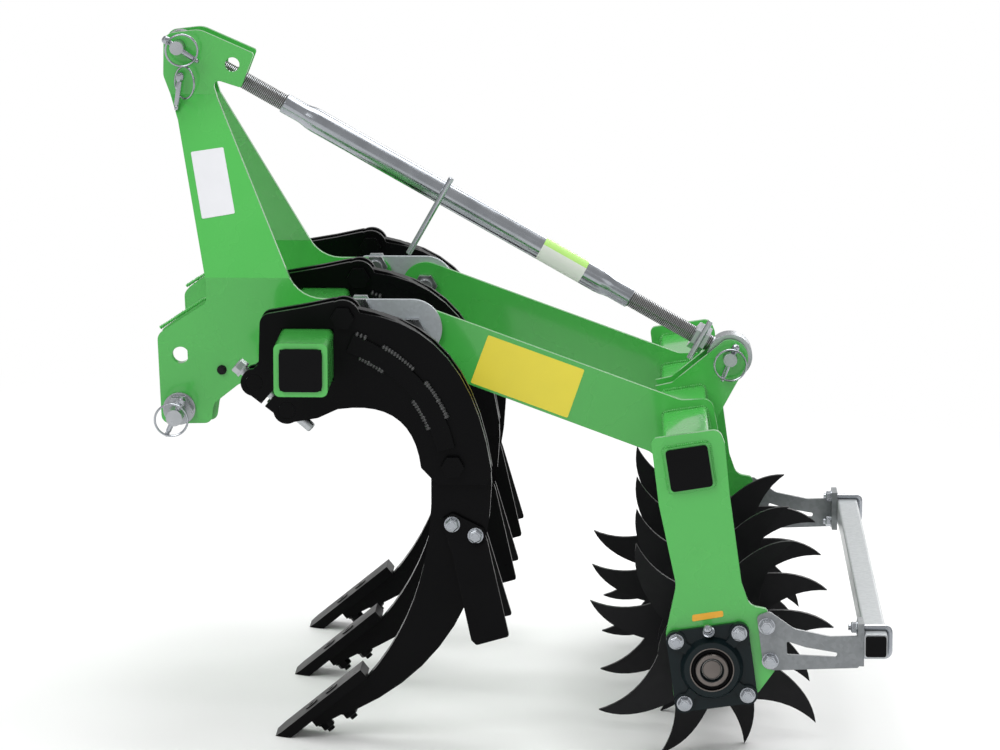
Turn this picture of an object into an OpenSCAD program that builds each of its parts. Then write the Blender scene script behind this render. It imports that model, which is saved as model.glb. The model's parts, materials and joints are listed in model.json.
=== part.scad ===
// Three-leg subsoiler with a spiked rear roller, for a small tractor's three-point hitch.
// X runs back from the tractor, Y to the machine's right, Z up; it stands on its share tips and roller.
// Side-view places are given from the toolbar's axis before the whole machine is leaned to its stance.

/* [Toolbar] */
// Outside width of the square toolbar
bar_w = 70; // [60:1:80]
// Wall of the toolbar
bar_wall = 8; // [4:0.5:10]
// Length of the toolbar
bar_len = 1000; // [900:10:1200]
// Thickness of the rim of the end plugs
plug_rim = 4; // [2:0.5:8]

/* [Headstock] */
// Thickness of the bent headstock plates
head_t = 10; // [8:0.5:12]
// Clear gap between the two plates at the mast head
mast_gap = 46; // [44:1:60]
// Clear gap between the two plates at the lower hitch
hitch_gap = 400; // [380:5:440]
// Height of the upper bend line above the toolbar's axis
bend_high = 306; // [290:1:312]
// Height of the lower bend line above the toolbar's axis
bend_low = 76; // [70:1:95]
// Thickness of the doubler plates on the lower hitch
doubler_t = 8; // [5:0.5:10]
// Diameter of the lower hitch pins and holes' pins
lower_pin_d = 22; // [20:0.5:28]
// Free length of a lower hitch pin outside its collar
lower_pin_len = 64; // [50:1:80]
// Diameter of the free lower link holes
lower_hole_d = 22.6; // [20.5:0.1:28]
// Diameter of the top link pin
top_pin_d = 19; // [18:0.5:22]
// Diameter of the free hole at the back of the mast head
top_hole_d = 20; // [18:0.1:24]

/* [Leg brackets] */
// Distance from the toolbar's end to an outer leg's centre plane
leg_inset = 150; // [120:5:190]
// Shift of the middle leg to the right along the toolbar
middle_shift = 30; // [-40:5:40]
// Thickness of a bracket's side plate
bracket_t = 10; // [8:0.5:12]
// Thickness of a leg
leg_t = 25; // [20:1:30]
// Diameter of the bolts through a leg's top and bottom seats
leg_bolt_d = 18; // [14:1:20]
// Diameter of the cross barrels that the clamp bolt pulls together
barrel_d = 22; // [18:1:24]
// Diameter of the diagonal clamp bolt
clamp_bolt_d = 14; // [10:1:16]
// Thickness of the weld-on stiffening strip
strip_t = 6; // [3:1:10]

/* [Leg, share and wings] */
// Width of the reversible share
share_w = 60; // [50:1:80]
// Thickness of the share
share_t = 14; // [10:1:20]
// Thickness of a side wing
wing_t = 8; // [6:1:12]
// How far a wing's lower edge stands out from the leg's centre plane
wing_spread = 72; // [50:1:90]

/* [Roller frame] */
// Thickness of the rear arms
arm_t = 9; // [8:0.5:12]
// Running gap between an arm and the link plate beside it
arm_gap = 0.5; // [0.3:0.1:1]
// Diameter of the pivot bolts
pivot_d = 20; // [16:1:24]
// Thickness of the galvanised link plates
link_t = 8; // [6:0.5:10]
// Outside width of the square cross tube
cross_w = 60; // [50:1:65]
// Wall of the cross tube
cross_wall = 5; // [3:0.5:6]
// How far a side plate's outer face stands inside the toolbar's end
side_inset = 12; // [0:1:40]
// Thickness of a side plate
side_t = 10; // [8:0.5:12]
// Thickness of each lug for the turnbuckle
lug_t = 8; // [6:0.5:12]
// Clear gap between the two lugs
lug_gap = 46; // [44:1:60]
// Diameter of the pin through the lugs
lug_pin_d = 19; // [16:0.5:22]

/* [Roller] */
// Radius of a star over its spike tips
star_r = 165.5; // [150:0.5:180]
// Radius of a star's hub between two spikes
star_hub_r = 70; // [62:1:76]
// Number of spikes on a star
star_spikes = 3; // [3:1:3]
// Number of stars after which the spikes point the same way again
star_lead = 3; // [3:1:3]
// Thickness of a star
star_t = 8; // [6:1:12]
// Number of stars along the roller
star_count = 11; // [11:1:11]
// Distance from a side plate's inner face to the end star's middle
star_inset = 61; // [45:1:80]
// Outside diameter of the roller's tube
roller_tube_d = 88.9; // [76:0.1:114]
// Diameter of the roller's shaft
shaft_d = 30; // [25:1:35]
// Bolt spacing of the square bearing housing
housing_bolts = 83; // [80:1:92]
// Side of the square bearing housing
housing_w = 108; // [104:1:116]

/* [Scraper bar] */
// Width of the square scraper bar
scraper_w = 30; // [25:1:40]
// Wall of the scraper bar
scraper_wall = 3; // [2:0.5:4]
// How far the scraper bar stands out past a side plate
scraper_over = 12; // [8:1:25]
// Thickness of the galvanised bracket plates
scraper_plate_t = 6; // [4:0.5:8]

/* [Turnbuckle] */
// Diameter of the threaded rods
rod_d = 22; // [18:1:26]
// Diameter of the turnbuckle's tube
tie_tube_d = 33.7; // [32:0.1:42]
// Diameter of the tube's drawn-in ends
tie_neck_d = 28; // [27:0.5:31]
// Free thread between the top pin's axis and the tube
tie_front_free = 164; // [140:1:190]
// Free thread between the tube and the lug pin's axis
tie_rear_free = 159; // [130:1:190]
// Outside diameter of the front eye
front_eye_d = 40; // [36:1:44]
// Outside diameter of the rear eye
rear_eye_d = 62; // [58:1:66]
// Play of the rear eye on its pin, all round
rear_eye_play = 6.6; // [6:0.1:8]

/* [Hidden] */

$fn = 48;

green = [0.25, 0.68, 0.28];
black = [0.07, 0.07, 0.08];
charcoal = [0.20, 0.21, 0.22];
zinc = [0.74, 0.76, 0.78];
casting = [0.10, 0.19, 0.21];

// Side-view places [x, z] from the toolbar's axis
top_pin_at = [-197, 375];
top_hole_at = [-123, 350];
lower_hole_at = [-182, -26];
lower_pin_at = [-184, -99];
pivot_at = [132, 12];
link_bolt_at = [[61, 39], [30, -4]];
leg_top_at = [47, 50];
leg_low_at = [192, -148];
barrel_at = [[-70, -37], [-27, -74]];
cross_at = [503, -127];
lug_pin_at = [563, -55];
axle_at = [534, -390];
scraper_at = [747, -360];
share_tip_at = [-45, -514];
share_heel_at = [69, -422];
wing_bend_z = -248;
wing_low_z = -377;

// The roller frame's members are turned by this angle in the side view
frame_lean = 9;

fit_gap = 0.08;
seat_gap = 0.2;
arc_steps = 6;
curve_steps = 10;

half_bar = bar_w / 2;
mast_in = mast_gap / 2;
hitch_in = hitch_gap / 2;
hitch_out = hitch_in + head_t;
arm_out = hitch_out - arm_gap;
side_out = bar_len / 2 - side_inset;
leg_pitch = bar_len / 2 - leg_inset;
leg_places = [-leg_pitch, middle_shift, leg_pitch];
sides = [-1, 1];

// Stance: the lean that brings the share tips and the roller's lowest spikes to one level
spike_step = 360 / (star_spikes * star_lead);
star_drop = star_r * cos(spike_step / 2);
stance_run = axle_at - share_tip_at;
stance = asin(star_drop / norm(stance_run)) - atan2(stance_run[1], stance_run[0]);
star_phase = spike_step / 4 - stance;
stance_lift = -leaned(share_tip_at)[1];
mast_corner_r = 14;
mast_corner = [-217, 392];
strap_t = 8;
strap_back = scraper_w / 2 + strap_t;
front_reach = leaned(mast_corner + [mast_corner_r, -mast_corner_r])[0] - mast_corner_r;
rear_reach = leaned(scraper_at + [strap_back, -strap_back])[0];
stance_shift = -(front_reach + rear_reach) / 2;

function leaned(p) = [p[0] * cos(stance) - p[1] * sin(stance), p[0] * sin(stance) + p[1] * cos(stance)];

// Outline helpers: a corner [x, z, r] is rounded with radius r, a curve is a quadratic bend
function unit(v) = v / norm(v);
function flat(v) = [v[0], v[1]];
function corner(a, b, c, r) =
    let (u = unit(a - b), w = unit(c - b), half = acos(u * w) / 2,
         reach = min(r / tan(half), norm(a - b) * 0.49, norm(c - b) * 0.49),
         radius = reach * tan(half), middle = b + unit(u + w) * (radius / sin(half)),
         from = b + u * reach - middle, to = b + w * reach - middle,
         start = atan2(from[1], from[0]), raw = atan2(to[1], to[0]) - start,
         turn = raw > 180 ? raw - 360 : raw < -180 ? raw + 360 : raw)
    [for (i = [0:arc_steps]) middle + radius * [cos(start + turn * i / arc_steps), sin(start + turn * i / arc_steps)]];
function rounded(p) =
    [for (i = [0:len(p) - 1])
        let (a = p[(i + len(p) - 1) % len(p)], b = p[i], c = p[(i + 1) % len(p)])
        each (len(b) < 3 || b[2] == 0 ? [flat(b)] : corner(flat(a), flat(b), flat(c), b[2]))];
function bend(a, b, c, n = curve_steps) =
    [for (i = [0:n]) let (t = i / n) a * (1 - t) * (1 - t) + b * 2 * t * (1 - t) + c * t * t];
function polar(r, a) = r * [cos(a), sin(a)];
function arc(centre, r, from, to, n = 2 * curve_steps) =
    [for (i = [0:n]) centre + polar(r, from + (to - from) * i / n)];

// A bent strip: the path and the same path moved by t to its left side
function left_of(v) = [-v[1], v[0]];
function strip(path, t) =
    let (last = len(path) - 1,
         normals = [for (i = [0:last - 1]) left_of(unit(path[i + 1] - path[i]))],
         other = [for (i = [0:last])
             let (n = normals[max(i - 1, 0)], m = normals[min(i, last - 1)])
             path[i] + (n + m) * t / (1 + n * m)])
    concat(path, [for (i = [last:-1:0]) other[i]]);

module stance() {
    translate([stance_shift, 0, stance_lift]) rotate([0, -stance, 0]) children();
}

// A side-view outline as a plate between two planes across the machine
module plate(y0, y1) {
    translate([0, max(y0, y1), 0]) rotate([90, 0, 0]) linear_extrude(abs(y1 - y0)) children();
}

// A view along X as a sheet from x0 to x1
module sheet(x0, x1) {
    translate([x0, 0, 0]) rotate([90, 0, 90]) linear_extrude(x1 - x0) children();
}

module rod_y(at, d, y0, y1, sides_n = 48) {
    translate([at[0], max(y0, y1), at[1]]) rotate([90, 0, 0]) cylinder(d = d, h = abs(y1 - y0), $fn = sides_n);
}

// Hexagon across flats along Y
module hex_y(at, flats, y0, y1) {
    rod_y(at, flats / cos(30), y0, y1, 6);
}

module at_2d(p) { translate(p) children(); }

module square_tube(w, wall, half_len, at, turn = 0) {
    difference() {
        plate(-half_len, half_len) at_2d(at) rotate(turn) polygon(rounded(box_corners(w, wall)));
        plate(-half_len - 1, half_len + 1) at_2d(at) rotate(turn) square(w - 2 * wall, center = true);
    }
}

function box_corners(w, r) = [[-w / 2, -w / 2, r], [w / 2, -w / 2, r], [w / 2, w / 2, r], [-w / 2, w / 2, r]];

// Plastic plug: a rim of width rim_w on the tube's end and a stub inside it
module plug(w, wall, rim_w, half_len, at, turn, side) {
    plate(side * half_len, side * (half_len + plug_rim)) at_2d(at) rotate(turn)
        polygon(rounded(box_corners(rim_w, wall)));
    plate(side * (half_len - 15), side * half_len) at_2d(at) rotate(turn)
        square(w - 2 * wall - 2 * seat_gap, center = true);
}

// Toolbar and headstock
module toolbar() {
    color(green) square_tube(bar_w, bar_wall, bar_len / 2, [0, 0]);
}

module toolbar_plugs() {
    color(black) for (s = sides) plug(bar_w, bar_wall, bar_w - 2 * bar_wall + 2, bar_len / 2, [0, 0], 0, s);
}

wrap = 18;
head_outline = rounded([
    [mast_corner[0], mast_corner[1], mast_corner_r], [-168, 398, 30], [-93, 365, 4], [-111, 318, 4],
    [-152, 331, 9], [-144, 305, 4], [-20, 51, 50], [84, 51, 22], [84, 5, 22],
    [half_bar + wrap, 5, 6], [half_bar + wrap, -half_bar - wrap, 8], [-74, -half_bar - wrap, 12],
    [-104, -66, 20], [-137, -92, 14], [-141, -119, 10], [-208, -120, 12], [-213, 2, 14],
    [-146, 46, 10], [-147, bend_low, 0], [-196, 276, 0], [-218, 335, 20]
]);

module head_sheet(s) {
    path = [[mast_in, 420], [mast_in, bend_high], [hitch_in, bend_low], [hitch_in, -140]];
    mirror([0, s < 0 ? 1 : 0, 0]) sheet(-240, 100) polygon(strip(path, head_t));
}

module headstock(s) {
    color(green) difference() {
        intersection() {
            plate(-hitch_out - 1, hitch_out + 1) polygon(head_outline);
            head_sheet(s);
        }
        plate(-hitch_out - 1, hitch_out + 1) square(bar_w, center = true);
        rod_y(top_pin_at, top_pin_d + 2 * fit_gap, -hitch_out, hitch_out);
        rod_y(top_hole_at, top_hole_d, -hitch_out, hitch_out);
        rod_y(lower_hole_at, lower_hole_d, -hitch_out - 1, hitch_out + 1);
        rod_y(lower_pin_at, lower_pin_d, -hitch_out - 1, hitch_out + 1);
        rod_y(link_bolt_at[0], pivot_d, -hitch_out - 1, hitch_out + 1);
    }
}

doubler_outline = rounded([
    [-209, 6, 12], [-150, 50, 6], [-110, 50, 8], [-110, -62, 10], [-130, -88, 12], [-134, -116, 10], [-205, -117, 10]
]);

// Inner plates that double the lower hitch's wall
module hitch_doublers() {
    color(green) for (s = sides) difference() {
        plate(s * (hitch_in - doubler_t), s * hitch_in) polygon(doubler_outline);
        rod_y(lower_hole_at, lower_hole_d, -hitch_out * 2, hitch_out * 2);
        rod_y(lower_pin_at, lower_pin_d, -hitch_out * 2, hitch_out * 2);
    }
}

washer_t = 4;
collar_t = 18;
nut_t = 16;
module lower_pins() {
    face = hitch_out;
    back = hitch_in - doubler_t;
    color(zinc) for (s = sides) {
        rod_y(lower_pin_at, lower_pin_d, s * (back - nut_t - 6), s * (face + collar_t + lower_pin_len));
        rod_y(lower_pin_at, lower_pin_d + 22, s * face, s * (face + washer_t));
        hex_y(lower_pin_at, lower_pin_d + 12, s * (face + washer_t), s * (face + collar_t));
        hex_y(lower_pin_at, lower_pin_d + 10, s * (back - nut_t), s * back);
    }
}

top_pin_out = 30;
module top_pin() {
    face = mast_in + head_t;
    color(zinc) {
        rod_y(top_pin_at, top_pin_d, -face - top_pin_out, face + top_pin_out);
        rod_y(top_pin_at, top_pin_d + 12, face, face + 5);
    }
}

link_r = 40;
module link_plates() {
    color(zinc) for (s = sides) difference() {
        plate(s * hitch_out, s * (hitch_out + link_t)) difference() {
            union() {
                at_2d(pivot_at) circle(r = link_r);
                polygon(rounded([
                    [pivot_at[0], pivot_at[1] + link_r, 0], [half_bar + 5, pivot_at[1] + link_r, 6],
                    [half_bar + 5, pivot_at[1] - link_r + 6, 14], [pivot_at[0], pivot_at[1] - link_r, 0]
                ]));
            }
            at_2d(pivot_at) circle(d = pivot_d + 2 * fit_gap);
            at_2d(link_bolt_at[0]) circle(d = pivot_d);
        }
    }
}

// Bolt along Y with a hexagon at each end: from the outer head face to the inner nut face
module through_bolt(at, d, y_in, y_out, s, flats) {
    head_h = d * 0.6;
    rod_y(at, d, s * (y_in - d), s * (y_out + seat_gap));
    hex_y(at, flats, s * y_out, s * (y_out + head_h));
    hex_y(at, flats, s * (y_in - head_h), s * y_in);
}

module link_bolts() {
    color(zinc) for (s = sides)
        through_bolt(link_bolt_at[0], pivot_d, hitch_in, hitch_out + link_t, s, pivot_d * 1.5);
}

module pivot_bolts() {
    color(zinc) for (s = sides)
        through_bolt(pivot_at, pivot_d, arm_out - arm_t - arm_gap, hitch_out + link_t, s, pivot_d * 1.5);
}

// Leg brackets: two side plates that clamp round the toolbar and carry the leg between them
hump_r = 23;
lobe_r = 18;
seat_r = 25;
clamp_slot = 6;
bracket_back = bend([70, 56], [215, 40], [243, -154]);
bracket_front = bend([150, -150], [140, -66], [60, -70]);
bracket_outline = rounded(concat(
    [[-62, 53, 14], [-4, 63, 20], [34, 71, 0], [60, 68, 0]], bracket_back,
    [[240, -173, 8], [172, -173, 10]], bracket_front,
    [[40, -72, 12], [14, -84, 10], [-27, -91, 0], [-80, -50, 0], [-86, -34, 0], [-64, -12, 8]]
));
strip_path = bend([52, 6], [150, -30], [172, -128], 8);

module bracket_2d() {
    middle = (barrel_at[0] + barrel_at[1]) / 2;
    across = unit(barrel_at[1] - barrel_at[0]);
    slot_turn = atan2(across[1], across[0]);
    difference() {
        union() {
            polygon(bracket_outline);
            for (p = barrel_at) at_2d(p) circle(r = lobe_r);
            at_2d(leg_top_at) circle(r = hump_r);
            at_2d(leg_low_at) circle(r = seat_r);
        }
        square(bar_w, center = true);
        at_2d(middle) rotate(slot_turn) translate([-clamp_slot / 2, -60]) square([clamp_slot, 60 + half_bar * 0.8]);
        for (p = barrel_at) at_2d(p) circle(d = barrel_d + 2 * seat_gap);
        for (p = [leg_top_at, leg_low_at]) at_2d(p) circle(d = leg_bolt_d + 2 * seat_gap);
    }
}

module bracket(y) {
    color(black) for (s = sides) {
        inner = leg_t / 2 + seat_gap;
        face = inner + bracket_t;
        plate(y + s * inner, y + s * face) bracket_2d();
        plate(y + s * face, y + s * (face + strip_t)) difference() {
            polygon(strip(strip_path, 24));
            at_2d(leg_low_at) circle(d = leg_bolt_d * 2);
        }
    }
}

clamp_run = barrel_at[1] - barrel_at[0];
clamp_end = 42;
clamp_head_at = -24;

module along_clamp(y) {
    translate([barrel_at[0][0], y, barrel_at[0][1]]) rotate([0, -atan2(clamp_run[1], clamp_run[0]), 0]) children();
}

// Cross barrels in the bracket's lobes; the bolt runs through one and is threaded into the other
module clamp_barrels() {
    half = leg_t / 2 + seat_gap + bracket_t;
    color(black) for (y = leg_places) difference() {
        for (p = barrel_at) rod_y(p, barrel_d, y - half, y + half);
        along_clamp(y) rod_x(clamp_bolt_d + 2 * seat_gap, clamp_head_at, norm(clamp_run) + clamp_end);
    }
}

module clamp_bolts() {
    flats = leg_t - 2;
    color(zinc) for (y = leg_places) along_clamp(y) {
        rod_x(clamp_bolt_d, clamp_head_at, norm(clamp_run) + clamp_end);
        translate([clamp_head_at - 10, 0, 0]) rotate([0, 90, 0]) cylinder(d = flats / cos(30), h = 10, $fn = 6);
        rod_x(flats, clamp_head_at, -barrel_d / 2);
    }
}

module leg_bolts() {
    half = leg_t / 2 + seat_gap + bracket_t;
    flats = leg_bolt_d * 1.5;
    color(black) for (y = leg_places) for (p = [leg_top_at, leg_low_at]) {
        rod_y(p, leg_bolt_d, y - half, y + half + 14);
        hex_y(p, flats, y - half - 10, y - half);
        hex_y(p, flats, y + half, y + half + 10);
    }
}

// Leg: a flat curved tine whose foot runs under the share
share_run = unit(share_tip_at - share_heel_at);
function on_share(along, depth) = share_heel_at + share_run * along - share_down * depth;
share_down = [share_run[1], -share_run[0]];
share_len = norm(share_tip_at - share_heel_at);
foot_len = 98;
leg_eye_r = 17;
leg_back = bend([60, 62], [212, 36], [242, -150]);
leg_back_low = bend([243, -176], [236, -400], [60, -481]);
leg_front_low = bend([76, -438], [158, -345], [163, -200]);
leg_front = bend([163, -150], [158, -45], [66, 10]);

module leg_2d() {
    difference() {
        polygon(concat(
            leg_back, leg_back_low,
            [[48, -484], on_share(foot_len, share_t + 12), on_share(foot_len, share_t), on_share(0, share_t)],
            leg_front_low, leg_front, arc(leg_top_at, leg_eye_r, -54, -270)
        ));
        for (p = [leg_top_at, leg_low_at]) at_2d(p) circle(d = leg_bolt_d + 2 * seat_gap);
    }
}

module leg(y) {
    color(black) plate(y - leg_t / 2, y + leg_t / 2) leg_2d();
}

module share(y) {
    slope = atan2(-share_run[1], -share_run[0]) + stance;
    sole = [cos(stance), -sin(stance)] * share_t / sin(slope);
    bevel_w = 12;
    color(black) intersection() {
        plate(y - share_w / 2, y + share_w / 2) polygon([
            share_heel_at, share_tip_at, share_tip_at + sole, on_share(0, share_t)
        ]);
        translate([share_tip_at[0], y, share_tip_at[1]]) rotate([0, atan2(share_run[1], -share_run[0]), 0])
            linear_extrude(4 * share_w, center = true) polygon([
                [-10, -share_w / 2 + bevel_w], [-10, share_w / 2 - bevel_w], [bevel_w, share_w / 2],
                [share_len + 60, share_w / 2], [share_len + 60, -share_w / 2], [bevel_w, -share_w / 2]
            ]);
    }
}

wing_outline = rounded([
    [178, -219, 4], [192, -211, 5], [232, -231, 5], [238, -250, 6], [268, -366, 3], [225, -377, 5],
    [218, -371, 4], [191, -264, 0], [182, -240, 4]
]);

module wings(y) {
    half = leg_t / 2;
    color(black) for (s = sides) intersection() {
        plate(y - wing_spread - 20, y + wing_spread + 20) polygon(wing_outline);
        translate([0, y, 0]) mirror([0, s < 0 ? 1 : 0, 0]) sheet(170, 280)
            polygon(strip([[half, -200], [half, wing_bend_z], [wing_spread, wing_low_z - 5]], wing_t));
    }
}

// Rear arms and the roller frame
arm_eye_r = 33;
module arm(s) {
    wrap_r = cross_w / 2 + 14;
    color(green) difference() {
        plate(s * (arm_out - arm_t), s * arm_out) difference() {
            polygon(rounded(concat(
                [[494, -85, 24], [536, -83, 14], [551, -160, 14], [476, -177, 14], [452, -155, 20], [207, -64, 40]],
                arc(pivot_at, arm_eye_r, 242, 70)
            )));
            at_2d(pivot_at) circle(d = pivot_d + 2 * fit_gap);
            at_2d(cross_at) rotate(frame_lean) square(cross_w, center = true);
        }
    }
}

module cross_tube() {
    color(green) square_tube(cross_w, cross_wall, side_out + 6, cross_at, frame_lean);
}

module cross_plugs() {
    color(black) for (s = sides) plug(cross_w, cross_wall, cross_w - cross_wall, side_out + 6, cross_at, frame_lean, s);
}

lug_r = 25;
module tie_lugs() {
    color(green) for (s = sides) plate(s * lug_gap / 2, s * (lug_gap / 2 + lug_t)) difference() {
        polygon(rounded(concat(
            [[483, -90, 12], [460, -95, 0], [474, -118, 0], [530, -112, 0], [536, -158, 6], [550, -131, 6]],
            arc(lug_pin_at, lug_r, -30, 110)
        )));
        at_2d(lug_pin_at) circle(d = lug_pin_d + 2 * seat_gap);
        at_2d(cross_at) rotate(frame_lean) square(cross_w, center = true);
    }
}

module lug_pin() {
    face = lug_gap / 2 + lug_t;
    color(zinc) {
        rod_y(lug_pin_at, lug_pin_d, -face - 22, face + 6);
        rod_y(lug_pin_at, lug_pin_d + 12, face + seat_gap, face + 6);
    }
}

side_outline = rounded([
    [453, -90, 8], [542, -77, 12], [549, -95, 10], [556, -164, 0], [572, -279, 24], [583, -310, 16],
    [606, -314, 6], [616, -396, 4], [595, -425, 6], [486, -441, 12], [474, -346, 10], [487, -283, 40], [464, -177, 0]
]);

module side_plate(s) {
    color(green) difference() {
        plate(s * (side_out - side_t), s * side_out) difference() {
            polygon(side_outline);
            at_2d(cross_at) rotate(frame_lean) square(cross_w, center = true);
            at_2d(axle_at) circle(r = shaft_d);
        }
    }
}

housing_t = 14;
housing_rim_t = 9;
housing_boss_d = 26;
boss_d = 72;
seal_d = 56;

// Cast flange with a boss at each bolt, ribs to the hub and a hub that narrows outwards
module housing_2d() {
    at_2d(axle_at) rotate(frame_lean - 1) children();
}

module bearing(s) {
    color(casting) difference() {
        union() {
            plate(s * side_out, s * (side_out + housing_rim_t))
                housing_2d() polygon(rounded(box_corners(housing_w, 18)));
            plate(s * side_out, s * (side_out + housing_t)) housing_2d() {
                for (x = sides, z = sides) translate([x, z] * housing_bolts / 2) circle(d = housing_boss_d);
                for (a = [45, 135]) rotate(a) square([housing_bolts * sqrt(2), 14], center = true);
            }
            translate([axle_at[0], s * side_out, axle_at[1]]) rotate([s * -90, 0, 0])
                cylinder(d1 = boss_d + 16, d2 = boss_d, h = housing_t + 10);
            rod_y(axle_at, shaft_d + 12, s * (side_out - side_t), s * (side_out + housing_t + 14));
        }
        plate(s * (side_out - 1), s * (side_out + housing_t + 1)) housing_2d()
            for (x = sides, z = sides) translate([x, z] * housing_bolts / 2) circle(d = 11);
        rod_y(axle_at, shaft_d + 2 * fit_gap, s * (side_out - side_t - 1), s * (side_out + housing_t + 15));
        difference() {
            rod_y(axle_at, seal_d, s * (side_out + housing_t + 4), s * (side_out + housing_t + 11));
            rod_y(axle_at, shaft_d + 12, s * side_out, s * (side_out + housing_t + 14));
        }
    }
}

scraper_outline = rounded([
    [592, -322, 6], [608, -316, 8], [641, -339, 20], [689, -349, 20], [726, -348, 0], [726, -390, 4],
    [612, -394, 8], [600, -382, 6]
]);
scraper_slot = rounded([[631, -355, 2], [632, -373, 2], [697, -376, 2], [697, -370, 2], [656, -363, 12]]);
scraper_end_t = 8;
bracket_face = scraper_at[0] - scraper_w / 2;

bow_d = strap_t;
bow_reach = scraper_w / 2 + bow_d / 2;
bow_y = side_out - 18;
scraper_end_h = 56;
scraper_len = 2 * (side_out + scraper_over);

module scraper_brackets() {
    color(zinc) for (s = sides) difference() {
        union() {
            plate(s * side_out, s * (side_out + scraper_plate_t)) difference() {
                polygon(scraper_outline);
                polygon(scraper_slot);
            }
            plate(s * (side_out - 40), s * (side_out + scraper_plate_t))
                at_2d([bracket_face - scraper_end_t / 2, scraper_at[1]])
                    square([scraper_end_t, scraper_end_h], center = true);
        }
        for (z = sides) translate([bracket_face - 2 * scraper_end_t, s * bow_y, scraper_at[1] + z * bow_reach])
            rotate([0, 90, 0]) cylinder(d = bow_d + 2 * seat_gap, h = 4 * scraper_end_t);
    }
}

module scraper_bar() {
    color(zinc) square_tube(scraper_w, scraper_wall, scraper_len / 2, scraper_at);
}

module scraper_plugs() {
    color(black) for (s = sides) plug(scraper_w, scraper_wall, scraper_w - scraper_wall, scraper_len / 2, scraper_at, 0, s);
}

// Square U-bolt round the bar, through the bracket's end flange
module scraper_clamps() {
    tail = bracket_face - scraper_end_t - 8 - scraper_at[0];
    color(zinc) for (s = sides) translate([scraper_at[0], s * bow_y, scraper_at[1]]) {
        translate([bow_reach, 0, -bow_reach - bow_d / 2]) cylinder(d = bow_d, h = 2 * bow_reach + bow_d);
        for (z = sides) translate([tail, 0, z * bow_reach])
            rotate([0, 90, 0]) cylinder(d = bow_d, h = bow_reach - tail);
    }
}

// Roller: tube, shaft ends and stars of three curved spikes, each turned one step on from the last
star_run = side_out - side_t - star_inset;
module roller_tube() {
    half = star_run + 30;
    color(zinc) {
        rod_y(axle_at, roller_tube_d, -half, half);
        rod_y(axle_at, shaft_d, -side_out - housing_t - 22, side_out + housing_t + 22);
    }
}

hollow_root = -26.4;
crown_root = 28.1;
function spike(a) =
    let (tip = polar(star_r, a),
         hollow = bend(polar(star_hub_r, a + hollow_root), polar(star_r * 0.67, a + 5), tip, curve_steps),
         crown = bend(tip, polar(star_r * 0.84, a + 15.2), polar(star_hub_r, a + crown_root), curve_steps))
    concat(hollow, [for (i = [1:curve_steps]) crown[i]]);

module star(i) {
    y = star_run * (2 * i / (star_count - 1) - 1);
    turn = star_phase + (i + star_lead - 1) * spike_step;
    pitch = 360 / star_spikes;
    color(charcoal) plate(y - star_t / 2, y + star_t / 2) at_2d(axle_at) difference() {
        polygon([for (k = [0:star_spikes - 1], p = concat(
            spike(turn + k * pitch),
            arc([0, 0], star_hub_r, turn + k * pitch + crown_root + 3, turn + (k + 1) * pitch + hollow_root - 3, 6)
        )) p]);
        circle(d = roller_tube_d);
    }
}

// Turnbuckle: two threaded rods in a turning tube, from the top pin to the roller frame's lugs
tie_run = lug_pin_at - top_pin_at;
tie_len = norm(tie_run);
tie_turn = -atan2(tie_run[1], tie_run[0]);
front_eye_t = 24;
rear_eye_t = 38;
rod_in = 110;
tube_end = tie_len - tie_rear_free;
neck_len = 42;
handle_at = 416;
handle_d = 8;
lock_at = 58;
lock_t = 20;

module along_tie() {
    translate([top_pin_at[0], 0, top_pin_at[1]]) rotate([0, tie_turn, 0]) children();
}

module rod_x(d, x0, x1) {
    translate([x0, 0, 0]) rotate([0, 90, 0]) cylinder(d = d, h = x1 - x0);
}

module tie_front_rod() {
    color(zinc) along_tie() difference() {
        union() {
            rod_y([0, 0], front_eye_d, -front_eye_t / 2, front_eye_t / 2);
            rod_x(rod_d, 0, tie_front_free + rod_in);
        }
        rod_y([0, 0], top_pin_d + 2 * fit_gap, -front_eye_t, front_eye_t);
    }
}

module tie_tube() {
    bore = rod_d + 2 * 0.3;
    color(zinc) along_tie() {
        difference() {
            union() {
                rod_x(tie_neck_d, tie_front_free, tube_end);
                rod_x(tie_tube_d, tie_front_free + neck_len, tube_end - neck_len);
            }
            rod_x(bore, tie_front_free - 1, tube_end + 1);
        }
        translate([handle_at, -tie_tube_d / 2 - handle_d / 2 + 1, -96]) cylinder(d = handle_d, h = 122);
    }
}

module tie_rear_rod() {
    color(zinc) along_tie() difference() {
        union() {
            rod_y([tie_len, 0], rear_eye_d, -rear_eye_t / 2, rear_eye_t / 2);
            rod_x(rod_d, tube_end - rod_in, tie_len);
        }
        rod_y([tie_len, 0], lug_pin_d + 2 * rear_eye_play, -rear_eye_t, rear_eye_t);
    }
}

module lock_nut() {
    flats = 34;
    x0 = tie_len - lock_at;
    color(zinc) along_tie() {
        difference() {
            translate([x0, 0, 0]) rotate([0, 90, 0]) cylinder(d = flats / cos(30), h = lock_t, $fn = 6);
            rod_x(rod_d + 2 * seat_gap, x0 - 1, x0 + lock_t + 1);
        }
        translate([x0 + lock_t / 2, -flats / 2 - handle_d / 2 + 1, -30]) cylinder(d = handle_d, h = 60);
    }
}

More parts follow.
